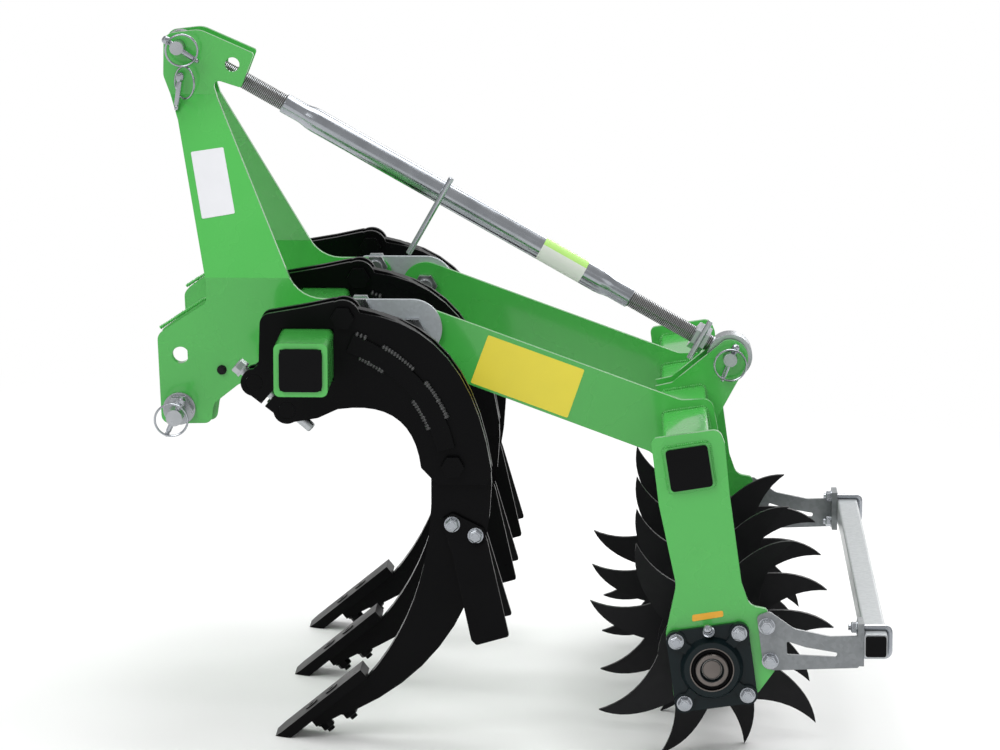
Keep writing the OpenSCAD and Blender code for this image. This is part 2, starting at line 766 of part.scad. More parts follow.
stance() toolbar();
stance() toolbar_plugs();
stance() headstock(-1);  // headstock_left
stance() headstock(1);  // headstock_right
stance() hitch_doublers();
stance() lower_pins();
stance() top_pin();
stance() link_plates();
stance() link_bolts();
stance() pivot_bolts();
stance() bracket(leg_places[0]);  // bracket_left
stance() bracket(leg_places[1]);  // bracket_middle
stance() bracket(leg_places[2]);  // bracket_right
stance() clamp_barrels();
stance() clamp_bolts();
stance() leg_bolts();
stance() leg(leg_places[0]);  // leg_left
stance() leg(leg_places[1]);  // leg_middle
stance() leg(leg_places[2]);  // leg_right
stance() share(leg_places[0]);  // share_left
stance() share(leg_places[1]);  // share_middle
stance() share(leg_places[2]);  // share_right
stance() wings(leg_places[0]);  // wings_left
stance() wings(leg_places[1]);  // wings_middle
stance() wings(leg_places[2]);  // wings_right
stance() arm(-1);  // arm_left
stance() arm(1);  // arm_right
stance() cross_tube();
stance() cross_plugs();
stance() tie_lugs();
stance() lug_pin();
stance() side_plate(-1);  // side_plate_left
stance() side_plate(1);  // side_plate_right
stance() bearing(-1);  // bearing_left
stance() bearing(1);  // bearing_right
stance() scraper_brackets();
stance() scraper_bar();
stance() scraper_plugs();
stance() scraper_clamps();
stance() roller_tube();
stance() star(0);  // star_1
stance() star(1);  // star_2
stance() star(2);  // star_3
stance() star(3);  // star_4
stance() star(4);  // star_5
stance() star(5);  // star_6
stance() star(6);  // star_7
stance() star(7);  // star_8
stance() star(8);  // star_9
stance() star(9);  // star_10
stance() star(10);  // star_11
stance() tie_front_rod();
stance() tie_tube();
stance() tie_rear_rod();
stance() lock_nut();
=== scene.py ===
"""Studio scene of a three-leg subsoiler with a spiked rear roller.

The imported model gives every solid. This script gives them their finishes, puts finer pieces in place of
four of them, adds the small parts that a solid model leaves out (threads, weld beads, lynch pins, bolt
heads, blank plates) and sets up the studio.
"""
import json
import logging
import math
from dataclasses import dataclass
from enum import Enum
from typing import Sequence

import bmesh
import bpy
from mathutils import Matrix, Vector


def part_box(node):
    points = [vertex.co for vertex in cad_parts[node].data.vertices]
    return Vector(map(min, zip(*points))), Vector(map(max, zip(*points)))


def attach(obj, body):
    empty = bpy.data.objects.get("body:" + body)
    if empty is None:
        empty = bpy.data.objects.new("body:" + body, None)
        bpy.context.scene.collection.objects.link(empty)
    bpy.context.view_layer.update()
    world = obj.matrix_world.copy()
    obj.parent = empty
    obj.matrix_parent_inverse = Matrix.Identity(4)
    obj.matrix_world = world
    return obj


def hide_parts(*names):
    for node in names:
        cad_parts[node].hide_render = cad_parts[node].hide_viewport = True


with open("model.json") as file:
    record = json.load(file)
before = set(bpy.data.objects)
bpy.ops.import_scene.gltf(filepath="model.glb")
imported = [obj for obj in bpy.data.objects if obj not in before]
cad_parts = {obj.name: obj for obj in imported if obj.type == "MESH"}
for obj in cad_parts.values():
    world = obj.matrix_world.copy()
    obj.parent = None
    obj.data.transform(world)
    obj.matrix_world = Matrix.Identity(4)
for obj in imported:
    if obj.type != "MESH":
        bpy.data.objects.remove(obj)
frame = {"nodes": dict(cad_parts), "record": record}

logging.basicConfig(level=logging.INFO, format="%(name)s: %(message)s")
LOG = logging.getLogger("subsoiler")

Point = tuple[float, float]
Spot = tuple[float, float, float]
Colour = tuple[float, float, float]
Node = bpy.types.Node
Socket = bpy.types.NodeSocket

MM = 0.001
LEFT, RIGHT = -1, 1
SIDES = (LEFT, RIGHT)
CORNERS = ((1, 1), (-1, 1), (-1, -1), (1, -1))

# Side-view places [x, z] in millimetres from the toolbar's axis, before the machine is leaned to its stance
AXLE_AT = (534.0, -390.0)
TOP_PIN_AT = (-197.0, 375.0)
LOWER_PIN_AT = (-184.0, -99.0)
LUG_PIN_AT = (563.0, -55.0)


@dataclass(frozen=True)
class Stance:
    """How the machine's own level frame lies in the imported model."""

    lean: float
    origin: Vector

    @classmethod
    def from_frame(cls) -> "Stance":
        """Works the lean out from two solids whose places are known.

        Returns:
            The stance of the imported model.
        """
        bar = cls.centre_of("toolbar")
        run = cls.centre_of("roller_tube") - bar
        lean = math.atan2(run.z, run.x) - math.atan2(AXLE_AT[1], AXLE_AT[0])
        return cls(lean, bar)

    @staticmethod
    def centre_of(node: str) -> Vector:
        """Middle of a node's box."""
        low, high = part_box(node)
        return (low + high) / 2

    def turn(self) -> Matrix:
        """Rotation from the machine's level frame to the model's frame."""
        return Matrix.Rotation(-self.lean, 4, "Y")

    def matrix(self) -> Matrix:
        """Whole change from level millimetres to the model's metres."""
        return Matrix.Translation(self.origin) @ self.turn() @ Matrix.Scale(MM, 4)


STANCE = Stance.from_frame()


class Slot(Enum):
    """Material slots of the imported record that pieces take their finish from."""

    GREEN = "green_paint"
    BLACK = "black_paint"
    DARK = "dark_paint"
    HOUSING = "housing_paint"
    ZINC = "zinc_plate"
    STEEL = "bare_steel"
    PLASTIC = "black_plastic"


class Body(Enum):
    """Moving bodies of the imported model."""

    FRAME = "frame"
    ROLLER_FRAME = "roller_frame"
    ROLLER = "roller"
    TIE_FRONT = "tie_front"
    TIE_MIDDLE = "tie_middle"
    TIE_REAR = "tie_rear"


class NodeDesk:
    """Adds and links the nodes of one tree."""

    def __init__(self, tree: bpy.types.NodeTree) -> None:
        """Takes the tree that nodes are added to."""
        self.tree = tree

    def add(self, kind: str, settings: dict[str, object] | None = None, **inputs: object) -> Node:
        """Adds a node.

        Args:
            kind: Blender's name for the node.
            settings: Options of the node by name.
            **inputs: Values or sockets by input name, with _ for a space.

        Returns:
            The new node.
        """
        node = self.tree.nodes.new(kind)
        for key, value in (settings or {}).items():
            setattr(node, key, value)
        for key, value in inputs.items():
            self.feed(next(s for s in node.inputs if s.enabled and s.name == key.replace("_", " ")), value)
        return node

    def feed(self, target: Socket, value: object) -> None:
        """Links a socket to an input, or sets the input's value."""
        if isinstance(value, Socket):
            self.tree.links.new(value, target)
        else:
            target.default_value = value

    def reckon(self, operation: str, first: Socket, second: Socket) -> Socket:
        """Result of one operation on two numbers."""
        node = self.add("ShaderNodeMath", {"operation": operation})
        self.feed(node.inputs[0], first)
        self.feed(node.inputs[1], second)
        return node.outputs[0]

    def choice(self, test: Socket, first: Node, second: Node) -> Node:
        """The second shader where the test holds, else the first."""
        mix = self.add("ShaderNodeMixShader", Fac=test)
        self.feed(mix.inputs[1], first.outputs[0])
        self.feed(mix.inputs[2], second.outputs[0])
        return mix


class ShaderDesk(NodeDesk):
    """Builds one material."""

    def __init__(self, name: str) -> None:
        """Starts an empty material of that name."""
        self.material = bpy.data.materials.new(name)
        self.material.use_nodes = True
        super().__init__(self.material.node_tree)
        self.tree.nodes.clear()
        self.coords = self.add("ShaderNodeTexCoord").outputs["Object"]

    def noise(self, scale: float, detail: float = 3.0, stretch: Colour = (1.0, 1.0, 1.0)) -> Socket:
        """Noise on Object coordinates.

        Args:
            scale: Cells in a metre.
            detail: Octaves of the noise.
            stretch: Scale along each axis.

        Returns:
            The noise's value socket.
        """
        mapping = self.add("ShaderNodeMapping", Vector=self.coords, Scale=stretch)
        cloud = self.add("ShaderNodeTexNoise", Vector=mapping.outputs[0], Scale=scale, Detail=detail)
        return cloud.outputs[0]

    def ramp(self, value: Socket, low: float, high: float) -> Socket:
        """Maps the middle of a noise to a range of numbers."""
        return self.add("ShaderNodeMapRange", Value=value, From_Min=0.3, From_Max=0.7, To_Min=low,
                        To_Max=high).outputs[0]

    def blend(self, factor: Socket, first: Colour, second: Colour) -> Socket:
        """Goes from the first colour to the second with factor."""
        return self.add("ShaderNodeMix", {"data_type": "RGBA"}, Factor=factor, A=(*first, 1.0),
                        B=(*second, 1.0)).outputs[2]

    def relief(self, height: Socket, strength: float, depth: float, edge: float) -> Socket:
        """Bump over softened edges.

        Args:
            height: Height socket.
            strength: Strength of the bump.
            depth: Height of the bump in metres.
            edge: Radius that edges look rounded to, in metres.

        Returns:
            A normal socket.
        """
        soft = self.add("ShaderNodeBevel", {"samples": 4}, Radius=edge)
        return self.add("ShaderNodeBump", Height=height, Strength=strength, Distance=depth,
                        Normal=soft.outputs[0]).outputs[0]

    def finish(self, **inputs: object) -> bpy.types.Material:
        """Closes the material with a Principled surface that has these inputs, and returns it."""
        surface = self.add("ShaderNodeBsdfPrincipled", **inputs)
        self.add("ShaderNodeOutputMaterial", Surface=surface.outputs[0])
        return self.material


def scaled(colour: Colour, share: float) -> Colour:
    """Colour with each channel times share."""
    return tuple(channel * share for channel in colour)


def linear(red: int, green: int, blue: int) -> Colour:
    """Linear colour of a display colour from 0 to 255."""
    channels = (red / 255, green / 255, blue / 255)
    return tuple(c / 12.92 if c <= 0.04045 else ((c + 0.055) / 1.055) ** 2.4 for c in channels)


@dataclass(frozen=True)
class GlossPaint:
    """Sprayed and baked paint with a faint orange peel and softly lit edges."""

    name: str
    colour: Colour
    roughness: float = 0.3
    coat: float = 0.25
    mottle: float = 0.06
    edge: float = 0.0012
    specular: float = 0.4

    def make(self) -> bpy.types.Material:
        """Builds the material."""
        desk = ShaderDesk(self.name)
        peel = desk.noise(420.0, 2.0)
        dull, fresh = scaled(self.colour, 1 - self.mottle), scaled(self.colour, 1 + self.mottle)
        return desk.finish(
            Base_Color=desk.blend(desk.noise(5.0), dull, fresh),
            Roughness=desk.ramp(desk.noise(14.0), self.roughness * 0.85, self.roughness * 1.2),
            Specular_IOR_Level=self.specular,
            Coat_Weight=self.coat,
            Coat_Roughness=0.08,
            Normal=desk.relief(peel, 0.05, 0.0004, self.edge),
        )


@dataclass(frozen=True)
class SatinPaint:
    """Thin satin paint or oil on steel, with streaks and dusty patches."""

    name: str
    colour: Colour
    dust: Colour
    roughness: float = 0.42
    edge: float = 0.0010

    def make(self) -> bpy.types.Material:
        """Builds the material."""
        desk = ShaderDesk(self.name)
        streak = desk.noise(60.0, 4.0, (1.0, 0.15, 1.0))
        patch = desk.ramp(desk.noise(9.0, 4.0), 0.0, 0.55)
        return desk.finish(
            Base_Color=desk.blend(patch, self.colour, self.dust),
            Roughness=desk.ramp(streak, self.roughness * 0.8, self.roughness * 1.25),
            Specular_IOR_Level=0.16,
            Normal=desk.relief(streak, 0.12, 0.0004, self.edge),
        )


@dataclass(frozen=True)
class PlatedSteel:
    """Plated or bare steel, a little cloudy, with drawn lines."""

    name: str
    colour: Colour
    tint: Colour
    roughness: float = 0.28
    edge: float = 0.0008

    def make(self) -> bpy.types.Material:
        """Builds the material."""
        desk = ShaderDesk(self.name)
        cloud = desk.ramp(desk.noise(18.0, 5.0), 0.0, 1.0)
        drawn = desk.noise(60.0, 3.0, (0.7, 0.4, 0.7))
        return desk.finish(
            Base_Color=desk.blend(cloud, self.colour, self.tint),
            Metallic=1.0,
            Roughness=desk.ramp(drawn, self.roughness * 0.75, self.roughness * 1.4),
            Normal=desk.relief(drawn, 0.03, 0.0003, self.edge),
        )


@dataclass(frozen=True)
class SpangledSteel:
    """Galvanised plate with the frost-like grains of the zinc bath."""

    name: str
    colour: Colour
    grain: Colour
    grains_per_metre: float = 210.0
    roughness: float = 0.36

    def make(self) -> bpy.types.Material:
        """Builds the material."""
        desk = ShaderDesk(self.name)
        cells = desk.add("ShaderNodeTexVoronoi", Vector=desk.coords, Scale=self.grains_per_metre)
        split = desk.add("ShaderNodeSeparateColor", Color=cells.outputs["Color"])
        tone = split.outputs[0]
        return desk.finish(
            Base_Color=desk.blend(tone, self.colour, self.grain),
            Metallic=0.35,
            Roughness=desk.ramp(tone, self.roughness * 0.92, self.roughness * 1.08),
            Normal=desk.relief(desk.noise(200.0), 0.06, 0.0003, 0.0009),
        )


@dataclass(frozen=True)
class MouldedPlastic:
    """Injection-moulded plastic with a fine grain."""

    name: str
    colour: Colour
    roughness: float = 0.38

    def make(self) -> bpy.types.Material:
        """Builds the material."""
        desk = ShaderDesk(self.name)
        grain = desk.noise(900.0, 2.0)
        return desk.finish(
            Base_Color=desk.blend(desk.noise(12.0), scaled(self.colour, 0.85), scaled(self.colour, 1.2)),
            Roughness=desk.ramp(grain, self.roughness * 0.85, self.roughness * 1.2),
            Specular_IOR_Level=0.06,
            Normal=desk.relief(grain, 0.1, 0.0002, 0.0010),
        )


@dataclass(frozen=True)
class BlankFoil:
    """Blank plastic foil with a satin cover."""

    name: str
    colour: Colour

    def make(self) -> bpy.types.Material:
        """Builds the material."""
        desk = ShaderDesk(self.name)
        cloud = desk.noise(30.0)
        return desk.finish(
            Base_Color=desk.blend(cloud, scaled(self.colour, 0.96), scaled(self.colour, 1.02)),
            Roughness=desk.ramp(desk.noise(120.0), 0.3, 0.42),
            Normal=desk.relief(desk.noise(300.0), 0.03, 0.0002, 0.0004),
        )


GREEN = linear(70, 178, 74)
BLACK = (0.0022, 0.0022, 0.0026)

FINISHES = {
    Slot.GREEN: GlossPaint("green_gloss", GREEN, roughness=0.26, coat=0.8),
    Slot.BLACK: GlossPaint("black_gloss", BLACK, roughness=0.3, coat=0.0, mottle=0.15, specular=0.07),
    Slot.DARK: SatinPaint("charcoal_satin", (0.0055, 0.0055, 0.0065), (0.011, 0.011, 0.0125)),
    Slot.HOUSING: GlossPaint("housing_teal", (0.0045, 0.0105, 0.0125), roughness=0.32, coat=0.06, mottle=0.25,
                             specular=0.15),
    Slot.ZINC: PlatedSteel("zinc_plated", (0.47, 0.49, 0.51), (0.37, 0.39, 0.405)),
    Slot.STEEL: PlatedSteel("bare_steel", (0.42, 0.42, 0.41), (0.30, 0.29, 0.28), roughness=0.38),
    Slot.PLASTIC: MouldedPlastic("cap_plastic", (0.0045, 0.0045, 0.005)),
}
SPANGLED = {
    "link_plates": SpangledSteel("link_zinc", (0.50, 0.54, 0.57), (0.44, 0.475, 0.50)),
    "scraper_brackets": SpangledSteel("bracket_zinc", (0.23, 0.245, 0.255), (0.195, 0.208, 0.217)),
    "scraper_bar": SpangledSteel("bar_zinc", (0.50, 0.52, 0.535), (0.44, 0.46, 0.475), roughness=0.3),
}
BRIGHT = PlatedSteel("bright_zinc", (0.44, 0.46, 0.49), (0.32, 0.34, 0.37), roughness=0.2)
SCREW = SatinPaint("oiled_thread", (0.075, 0.068, 0.064), (0.13, 0.12, 0.115))
RING = PlatedSteel("ring_steel", (0.17, 0.15, 0.14), (0.12, 0.108, 0.10), roughness=0.3)
WELD = GlossPaint("black_weld", (0.02, 0.02, 0.021), roughness=0.3, coat=0.2, mottle=0.3, specular=0.6)


@dataclass(frozen=True)
class Coat:
    """Finish of a piece, with the record's slot that it belongs to."""

    slot: Slot
    material: bpy.types.Material


class PaintShop:
    """Makes each finish once and puts it on the solids."""

    def __init__(self) -> None:
        """Makes the finishes."""
        self.coats = {slot: Coat(slot, finish.make()) for slot, finish in FINISHES.items()}
        self.spangled = {name: finish.make() for name, finish in SPANGLED.items()}
        self.bright = Coat(Slot.ZINC, BRIGHT.make())
        self.screw = Coat(Slot.ZINC, SCREW.make())
        self.ring = Coat(Slot.STEEL, RING.make())
        self.weld = Coat(Slot.BLACK, WELD.make())

    def coat_nodes(self) -> None:
        """Gives every solid the finish of its slot, or its own galvanised one."""
        slots = {row["node"]: Slot(row["material_slot"]) for row in frame["record"]["subparts"]}
        for name, node in frame["nodes"].items():
            self.dress(node, self.spangled.get(name, self.coats[slots[name]].material))
        LOG.info("coated %d solids", len(frame["nodes"]))

    @staticmethod
    def dress(item: bpy.types.Object, material: bpy.types.Material) -> None:
        """Makes material the only one of an object."""
        for index in range(len(item.data.materials)):
            item.data.materials[index] = material
        if not item.data.materials:
            item.data.materials.append(material)


@dataclass(frozen=True)
class StudioCamera:
    """Camera of the photograph, in the machine's level frame."""

    lens: float = 183.6
    sensor: float = 36.0
    place: Spot = (440.5, -7000.4, 1041.0)
    pitch: float = 9.136
    yaw: float = -1.608

    def build(self) -> None:
        """Places the camera and makes it the scene's."""
        yaw, pitch = math.radians(self.yaw), math.radians(self.pitch)
        ahead = Vector((math.sin(yaw), math.cos(yaw), 0.0))
        forward = ahead * math.cos(pitch) - Vector((0.0, 0.0, math.sin(pitch)))
        right = Vector((math.cos(yaw), -math.sin(yaw), 0.0))
        up = right.cross(forward)
        turn = Matrix((right, up, -forward)).transposed().to_4x4()
        data = bpy.data.cameras.new("studio_camera")
        data.lens = self.lens
        data.sensor_width = self.sensor
        data.clip_end = 100.0
        camera = bpy.data.objects.new("studio_camera", data)
        bpy.context.scene.collection.objects.link(camera)
        camera.matrix_world = Matrix.Translation(STANCE.matrix() @ Vector(self.place)) @ STANCE.turn() @ turn
        bpy.context.scene.camera = camera


@dataclass(frozen=True)
class SoftBox:
    """Square area lamp aimed at the machine."""

    name: str
    place: Spot
    side: float
    power: float
    aim: Spot = (0.0, 0.0, 0.4)

    def build(self) -> None:
        """Places the lamp."""
        data = bpy.data.lights.new(self.name, "AREA")
        data.size = self.side
        data.energy = self.power
        lamp = bpy.data.objects.new(self.name, data)
        bpy.context.scene.collection.objects.link(lamp)
        lamp.location = self.place
        lamp.rotation_euler = (Vector(self.aim) - Vector(self.place)).to_track_quat("-Z", "Y").to_euler()


@dataclass(frozen=True)
class Studio:
    """Pale floor, white surroundings and soft lamps."""

    floor_radius: float = 30.0
    floor_colour: Colour = (0.92, 0.92, 0.92)
    fade: Point = (0.9, 2.6)
    surroundings: Colour = (1.0, 1.0, 1.0)
    ambient: float = 0.45
    reflected: float = 0.5
    lamps: tuple[SoftBox, ...] = (
        SoftBox("key_lamp", (-2.2, -3.6, 3.4), 2.4, 80.0),
        SoftBox("fill_lamp", (3.2, -3.2, 1.8), 2.6, 13.0),
        SoftBox("top_lamp", (0.2, 0.6, 4.2), 2.8, 105.0),
        SoftBox("rear_lamp", (1.8, 3.6, 2.6), 2.4, 92.0),
    )

    def build(self) -> None:
        """Makes the floor, the surroundings and the lamps."""
        self.build_floor()
        self.build_world()
        for lamp in self.lamps:
            lamp.build()
        LOG.info("studio with %d lamps", len(self.lamps))

    def build_floor(self) -> None:
        """Round floor that fades into the surroundings."""
        mesh = bpy.data.meshes.new("studio_floor")
        sheet = bmesh.new()
        bmesh.ops.create_circle(sheet, cap_ends=True, segments=96, radius=self.floor_radius)
        sheet.to_mesh(mesh)
        sheet.free()
        floor = bpy.data.objects.new("studio_floor", mesh)
        bpy.context.scene.collection.objects.link(floor)
        mesh.materials.append(self.floor_material())

    def floor_material(self) -> bpy.types.Material:
        """Matt floor near the machine, the surroundings' colour far from it."""
        desk = ShaderDesk("studio_floor")
        matt = desk.add("ShaderNodeBsdfDiffuse", Color=(*self.floor_colour, 1.0))
        glow = desk.add("ShaderNodeEmission", Color=(*self.surroundings, 1.0))
        distance = desk.add("ShaderNodeVectorMath", {"operation": "LENGTH"}, Vector=desk.coords)
        fade = desk.add("ShaderNodeMapRange", {"interpolation_type": "SMOOTHSTEP"},
                        Value=distance.outputs["Value"], From_Min=self.fade[0], From_Max=self.fade[1])
        desk.add("ShaderNodeOutputMaterial", Surface=desk.choice(fade.outputs[0], matt, glow).outputs[0])
        return desk.material

    def build_world(self) -> None:
        """White for what the camera sees, dimmer for gloss and for the light that falls on the machine."""
        world = bpy.data.worlds.new("studio_world")
        bpy.context.scene.world = world
        world.use_nodes = True
        desk = NodeDesk(world.node_tree)
        desk.tree.nodes.clear()
        white, ambient, reflected = (
            desk.add("ShaderNodeBackground", Color=(*self.surroundings, 1.0), Strength=strength)
            for strength in (1.0, self.ambient, self.reflected))
        rays = desk.add("ShaderNodeLightPath").outputs
        seen = desk.reckon("MAXIMUM", rays["Is Camera Ray"], rays["Is Transmission Ray"])
        dim = desk.choice(rays["Is Glossy Ray"], ambient, reflected)
        desk.add("ShaderNodeOutputWorld", Surface=desk.choice(seen, dim, white).outputs[0])


def level(x: float, y: float, z: float) -> Vector:
    """Point of the model's frame, in metres, from a place in level millimetres."""
    return STANCE.matrix() @ Vector((x, y, z))


def bend(a: Point, b: Point, c: Point, steps: int) -> list[Point]:
    """Points of a quadratic curve.

    Args:
        a: Start.
        b: Control point.
        c: End.
        steps: Number of parts.

    Returns:
        steps + 1 points.
    """
    shares = [i / steps for i in range(steps + 1)]
    return [tuple(p * (1 - t) ** 2 + q * 2 * t * (1 - t) + r * t * t for p, q, r in zip(a, b, c))
            for t in shares]


def shifted(path: Sequence[Point], distance: float) -> list[Point]:
    """The path moved sideways to its left by distance."""
    moved = []
    for index, (x, z) in enumerate(path):
        before, after = path[max(index - 1, 0)], path[min(index + 1, len(path) - 1)]
        run = Vector((after[0] - before[0], after[1] - before[1])).normalized()
        moved.append((x - run.y * distance, z + run.x * distance))
    return moved


def turned(centre: Point, x: float, z: float, degrees: float) -> Point:
    """Place of (x, z) from the centre after a turn in the side view."""
    cos, sin = math.cos(math.radians(degrees)), math.sin(math.radians(degrees))
    return (centre[0] + x * cos - z * sin, centre[1] + x * sin + z * cos)


def turned_square(centre: Point, width: float, degrees: float, corner: float) -> list[Point]:
    """Outline of a turned square with rounded corners, from its upper right corner."""
    half = width / 2 - corner
    points = []
    for quarter, (sx, sz) in enumerate(CORNERS):
        for step in range(5):
            angle = math.radians(90 * quarter + 22.5 * step)
            x, z = sx * half + corner * math.cos(angle), sz * half + corner * math.sin(angle)
            points.append(turned(centre, x, z, degrees))
    return points


def at_y(path: Sequence[Point], y: float) -> list[Vector]:
    """Points of a side-view path at one distance from the middle."""
    return [Vector((x, y, z)) for x, z in path]


def circle(centre: Point, radius: float, steps: int) -> list[Point]:
    """Points round a circle in the side view."""
    angles = [2 * math.pi * i / steps for i in range(steps)]
    return [(centre[0] + radius * math.cos(a), centre[1] + radius * math.sin(a)) for a in angles]


def place(name: str, mesh: bpy.types.Mesh, body: Body, coat: Coat, replaced: Sequence[str] = ()) -> None:
    """Puts a finished mesh in the scene as a piece of a moving body.

    Args:
        name: Name of the piece.
        mesh: Its mesh, with its place in it.
        body: Body that carries it.
        coat: Its finish; not used.
        replaced: Solids that the piece stands for.
    """
    mesh.name = name
    item = bpy.data.objects.new(name, mesh)
    bpy.context.scene.collection.objects.link(item)
    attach(item, body.value)
    if replaced:
        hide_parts(*replaced)
    LOG.info("%s: %d faces on %s", name, len(mesh.polygons), body.value)


class Forge:
    """Mesh under work, in level millimetres from the toolbar's axis."""

    def __init__(self) -> None:
        """Starts an empty mesh."""
        self.work = bmesh.new()

    def lathe(self, start: Sequence[float], aim: Sequence[float], profile: Sequence[Point], steps: int = 32,
              hollow: bool = False, spin: float = 0.0) -> None:
        """Turned solid.

        Args:
            start: Point on the axis that the profile is measured from.
            aim: Direction of the axis.
            profile: Distance along the axis and radius, from end to end.
            steps: Sides of the turned solid; 6 gives a hexagon.
            hollow: Whether the profile closes on itself round an open bore.
            spin: Turn round the axis in degrees.
        """
        frame_of = Vector(aim).to_track_quat("Z", "Y").to_matrix().to_4x4()
        frame_of.translation = Vector(start)
        rings = []
        for along, radius in profile:
            if radius <= 0:
                rings.append([self.work.verts.new(frame_of @ Vector((0, 0, along)))])
                continue
            turns = [math.radians(spin) + 2 * math.pi * i / steps for i in range(steps)]
            corners = [Vector((radius * math.cos(a), radius * math.sin(a), along)) for a in turns]
            rings.append([self.work.verts.new(frame_of @ corner) for corner in corners])
        self.bridge(rings, hollow)

    def bridge(self, rings: Sequence[Sequence[bmesh.types.BMVert]], closed: bool = False) -> None:
        """Joins each ring of corners to the next, and the last to the first if closed."""
        steps = max(len(ring) for ring in rings)
        pairs = list(zip(rings, rings[1:])) + ([(rings[-1], rings[0])] if closed else [])
        for low, high in pairs:
            for i in range(steps):
                j = (i + 1) % steps
                corners = [low[i % len(low)], low[j % len(low)], high[j % len(high)], high[i % len(high)]]
                self.work.faces.new(list(dict.fromkeys(corners)))

    def sweep(self, path: Sequence[Vector], radius: float, steps: int = 10, closed: bool = False) -> None:
        """Round wire along a path.

        Args:
            path: Points of the wire's middle line.
            radius: Radius of the wire.
            steps: Sides of its section.
            closed: Whether the wire's ends meet.
        """
        count = len(path)
        rings = []
        side = None
        for i, point in enumerate(path):
            before = path[i - 1] if closed or i else path[i]
            after = path[(i + 1) % count] if closed or i + 1 < count else path[i]
            run = (after - before).normalized()
            side = (run.orthogonal() if side is None else side - run * side.dot(run)).normalized()
            other = run.cross(side)
            rings.append([self.work.verts.new(point + radius * (math.cos(a) * side + math.sin(a) * other))
                          for a in (2 * math.pi * k / steps for k in range(steps))])
        self.bridge(rings, closed)
        if not closed:
            self.work.faces.new(rings[0])
            self.work.faces.new(rings[-1])

    def slab(self, outline: Sequence[Vector], depth: Vector, inset: float = 0.3) -> None:
        """Thin plate with a softened front edge.

        Args:
            outline: Corners on the surface that it lies on.
            depth: Thickness and direction of the plate.
            inset: How far the front face draws in.
        """
        middle = sum(outline, Vector()) / len(outline)
        rings = [outline, [p + depth * 0.6 for p in outline],
                 [p + depth + (middle - p).normalized() * inset for p in outline]]
        made = [[self.work.verts.new(p) for p in ring] for ring in rings]
        self.bridge(made)
        self.work.faces.new(made[0])
        self.work.faces.new(made[-1])

    def deliver(self, name: str, body: Body, coat: Coat, replaced: Sequence[str] = (),
                smooth: float = 35.0) -> None:
        """Finishes the mesh in the model's metres and places it.

        Args:
            name: Name of the piece.
            body: Body that carries it.
            coat: Its finish.
            replaced: Solids that the piece stands for.
            smooth: Greatest angle between faces that shade as one surface, in degrees.
        """
        bmesh.ops.recalc_face_normals(self.work, faces=self.work.faces)
        self.work.transform(STANCE.matrix())
        mesh = bpy.data.meshes.new(name)
        self.work.to_mesh(mesh)
        self.work.free()
        mesh.materials.append(coat.material)
        mesh.polygons.foreach_set("use_smooth", [True] * len(mesh.polygons))
        mesh.set_sharp_from_angle(angle=math.radians(smooth))
        place(name, mesh, body, coat, replaced)


class PatternDesk(NodeDesk):
    """Builds one Geometry Nodes tree, and bakes it."""

    def __init__(self, name: str, **sockets: str) -> None:
        """Starts a tree.

        Args:
            name: Name of the tree.
            **sockets: Kind of each input by name.
        """
        super().__init__(bpy.data.node_groups.new(name, "GeometryNodeTree"))
        for key, kind in {"Geometry": "Geometry", "Material": "Material", **sockets}.items():
            self.tree.interface.new_socket(key, in_out="INPUT", socket_type="NodeSocket" + kind)
        self.tree.interface.new_socket("Geometry", in_out="OUTPUT", socket_type="NodeSocketGeometry")
        self.given = self.tree.nodes.new("NodeGroupInput").outputs

    def join(self, *parts: Socket) -> Socket:
        """Joins geometries."""
        node = self.tree.nodes.new("GeometryNodeJoinGeometry")
        for part in parts:
            self.feed(node.inputs[0], part)
        return node.outputs[0]

    def lifted(self, part: Node, height: float) -> Socket:
        """A primitive moved up its own axis."""
        moved = self.add("GeometryNodeTransform", Geometry=part.outputs[0], Translation=(0.0, 0.0, height))
        return moved.outputs[0]

    def close(self, result: Socket, flat: bool) -> "PatternDesk":
        """Ends the tree with Realize Instances and Set Material.

        Args:
            result: Geometry that the tree makes.
            flat: Whether its faces shade flat.

        Returns:
            The desk.
        """
        real = self.add("GeometryNodeRealizeInstances", Geometry=result)
        shade = self.add("GeometryNodeSetShadeSmooth", Geometry=real.outputs[0], Shade_Smooth=not flat)
        dressed = self.add("GeometryNodeSetMaterial", Geometry=shade.outputs[0],
                           Material=self.given["Material"])
        output = self.tree.nodes.new("NodeGroupOutput")
        self.feed(output.inputs[0], dressed.outputs[0])
        return self

    def bake(self, mesh: bpy.types.Mesh, **values: object) -> bpy.types.Mesh:
        """Runs the tree on a mesh.

        Args:
            mesh: Points or edges that the tree works on.
            **values: Values of the tree's inputs by name.

        Returns:
            The finished mesh.
        """
        item = bpy.data.objects.new(self.tree.name, mesh)
        bpy.context.scene.collection.objects.link(item)
        modifier = item.modifiers.new("pattern", "NODES")
        modifier.node_group = self.tree
        for socket in self.tree.interface.items_tree:
            if socket.in_out == "INPUT" and socket.name in values:
                modifier[socket.identifier] = values[socket.name]
        graph = bpy.context.evaluated_depsgraph_get()
        baked = bpy.data.meshes.new_from_object(item.evaluated_get(graph), depsgraph=graph)
        item.modifiers.clear()
        bpy.data.objects.remove(item)
        return baked


@dataclass(frozen=True)
class Bolt:
    """Place of one bolt head or nut."""

    at: Spot
    aim: Spot
    flats: float


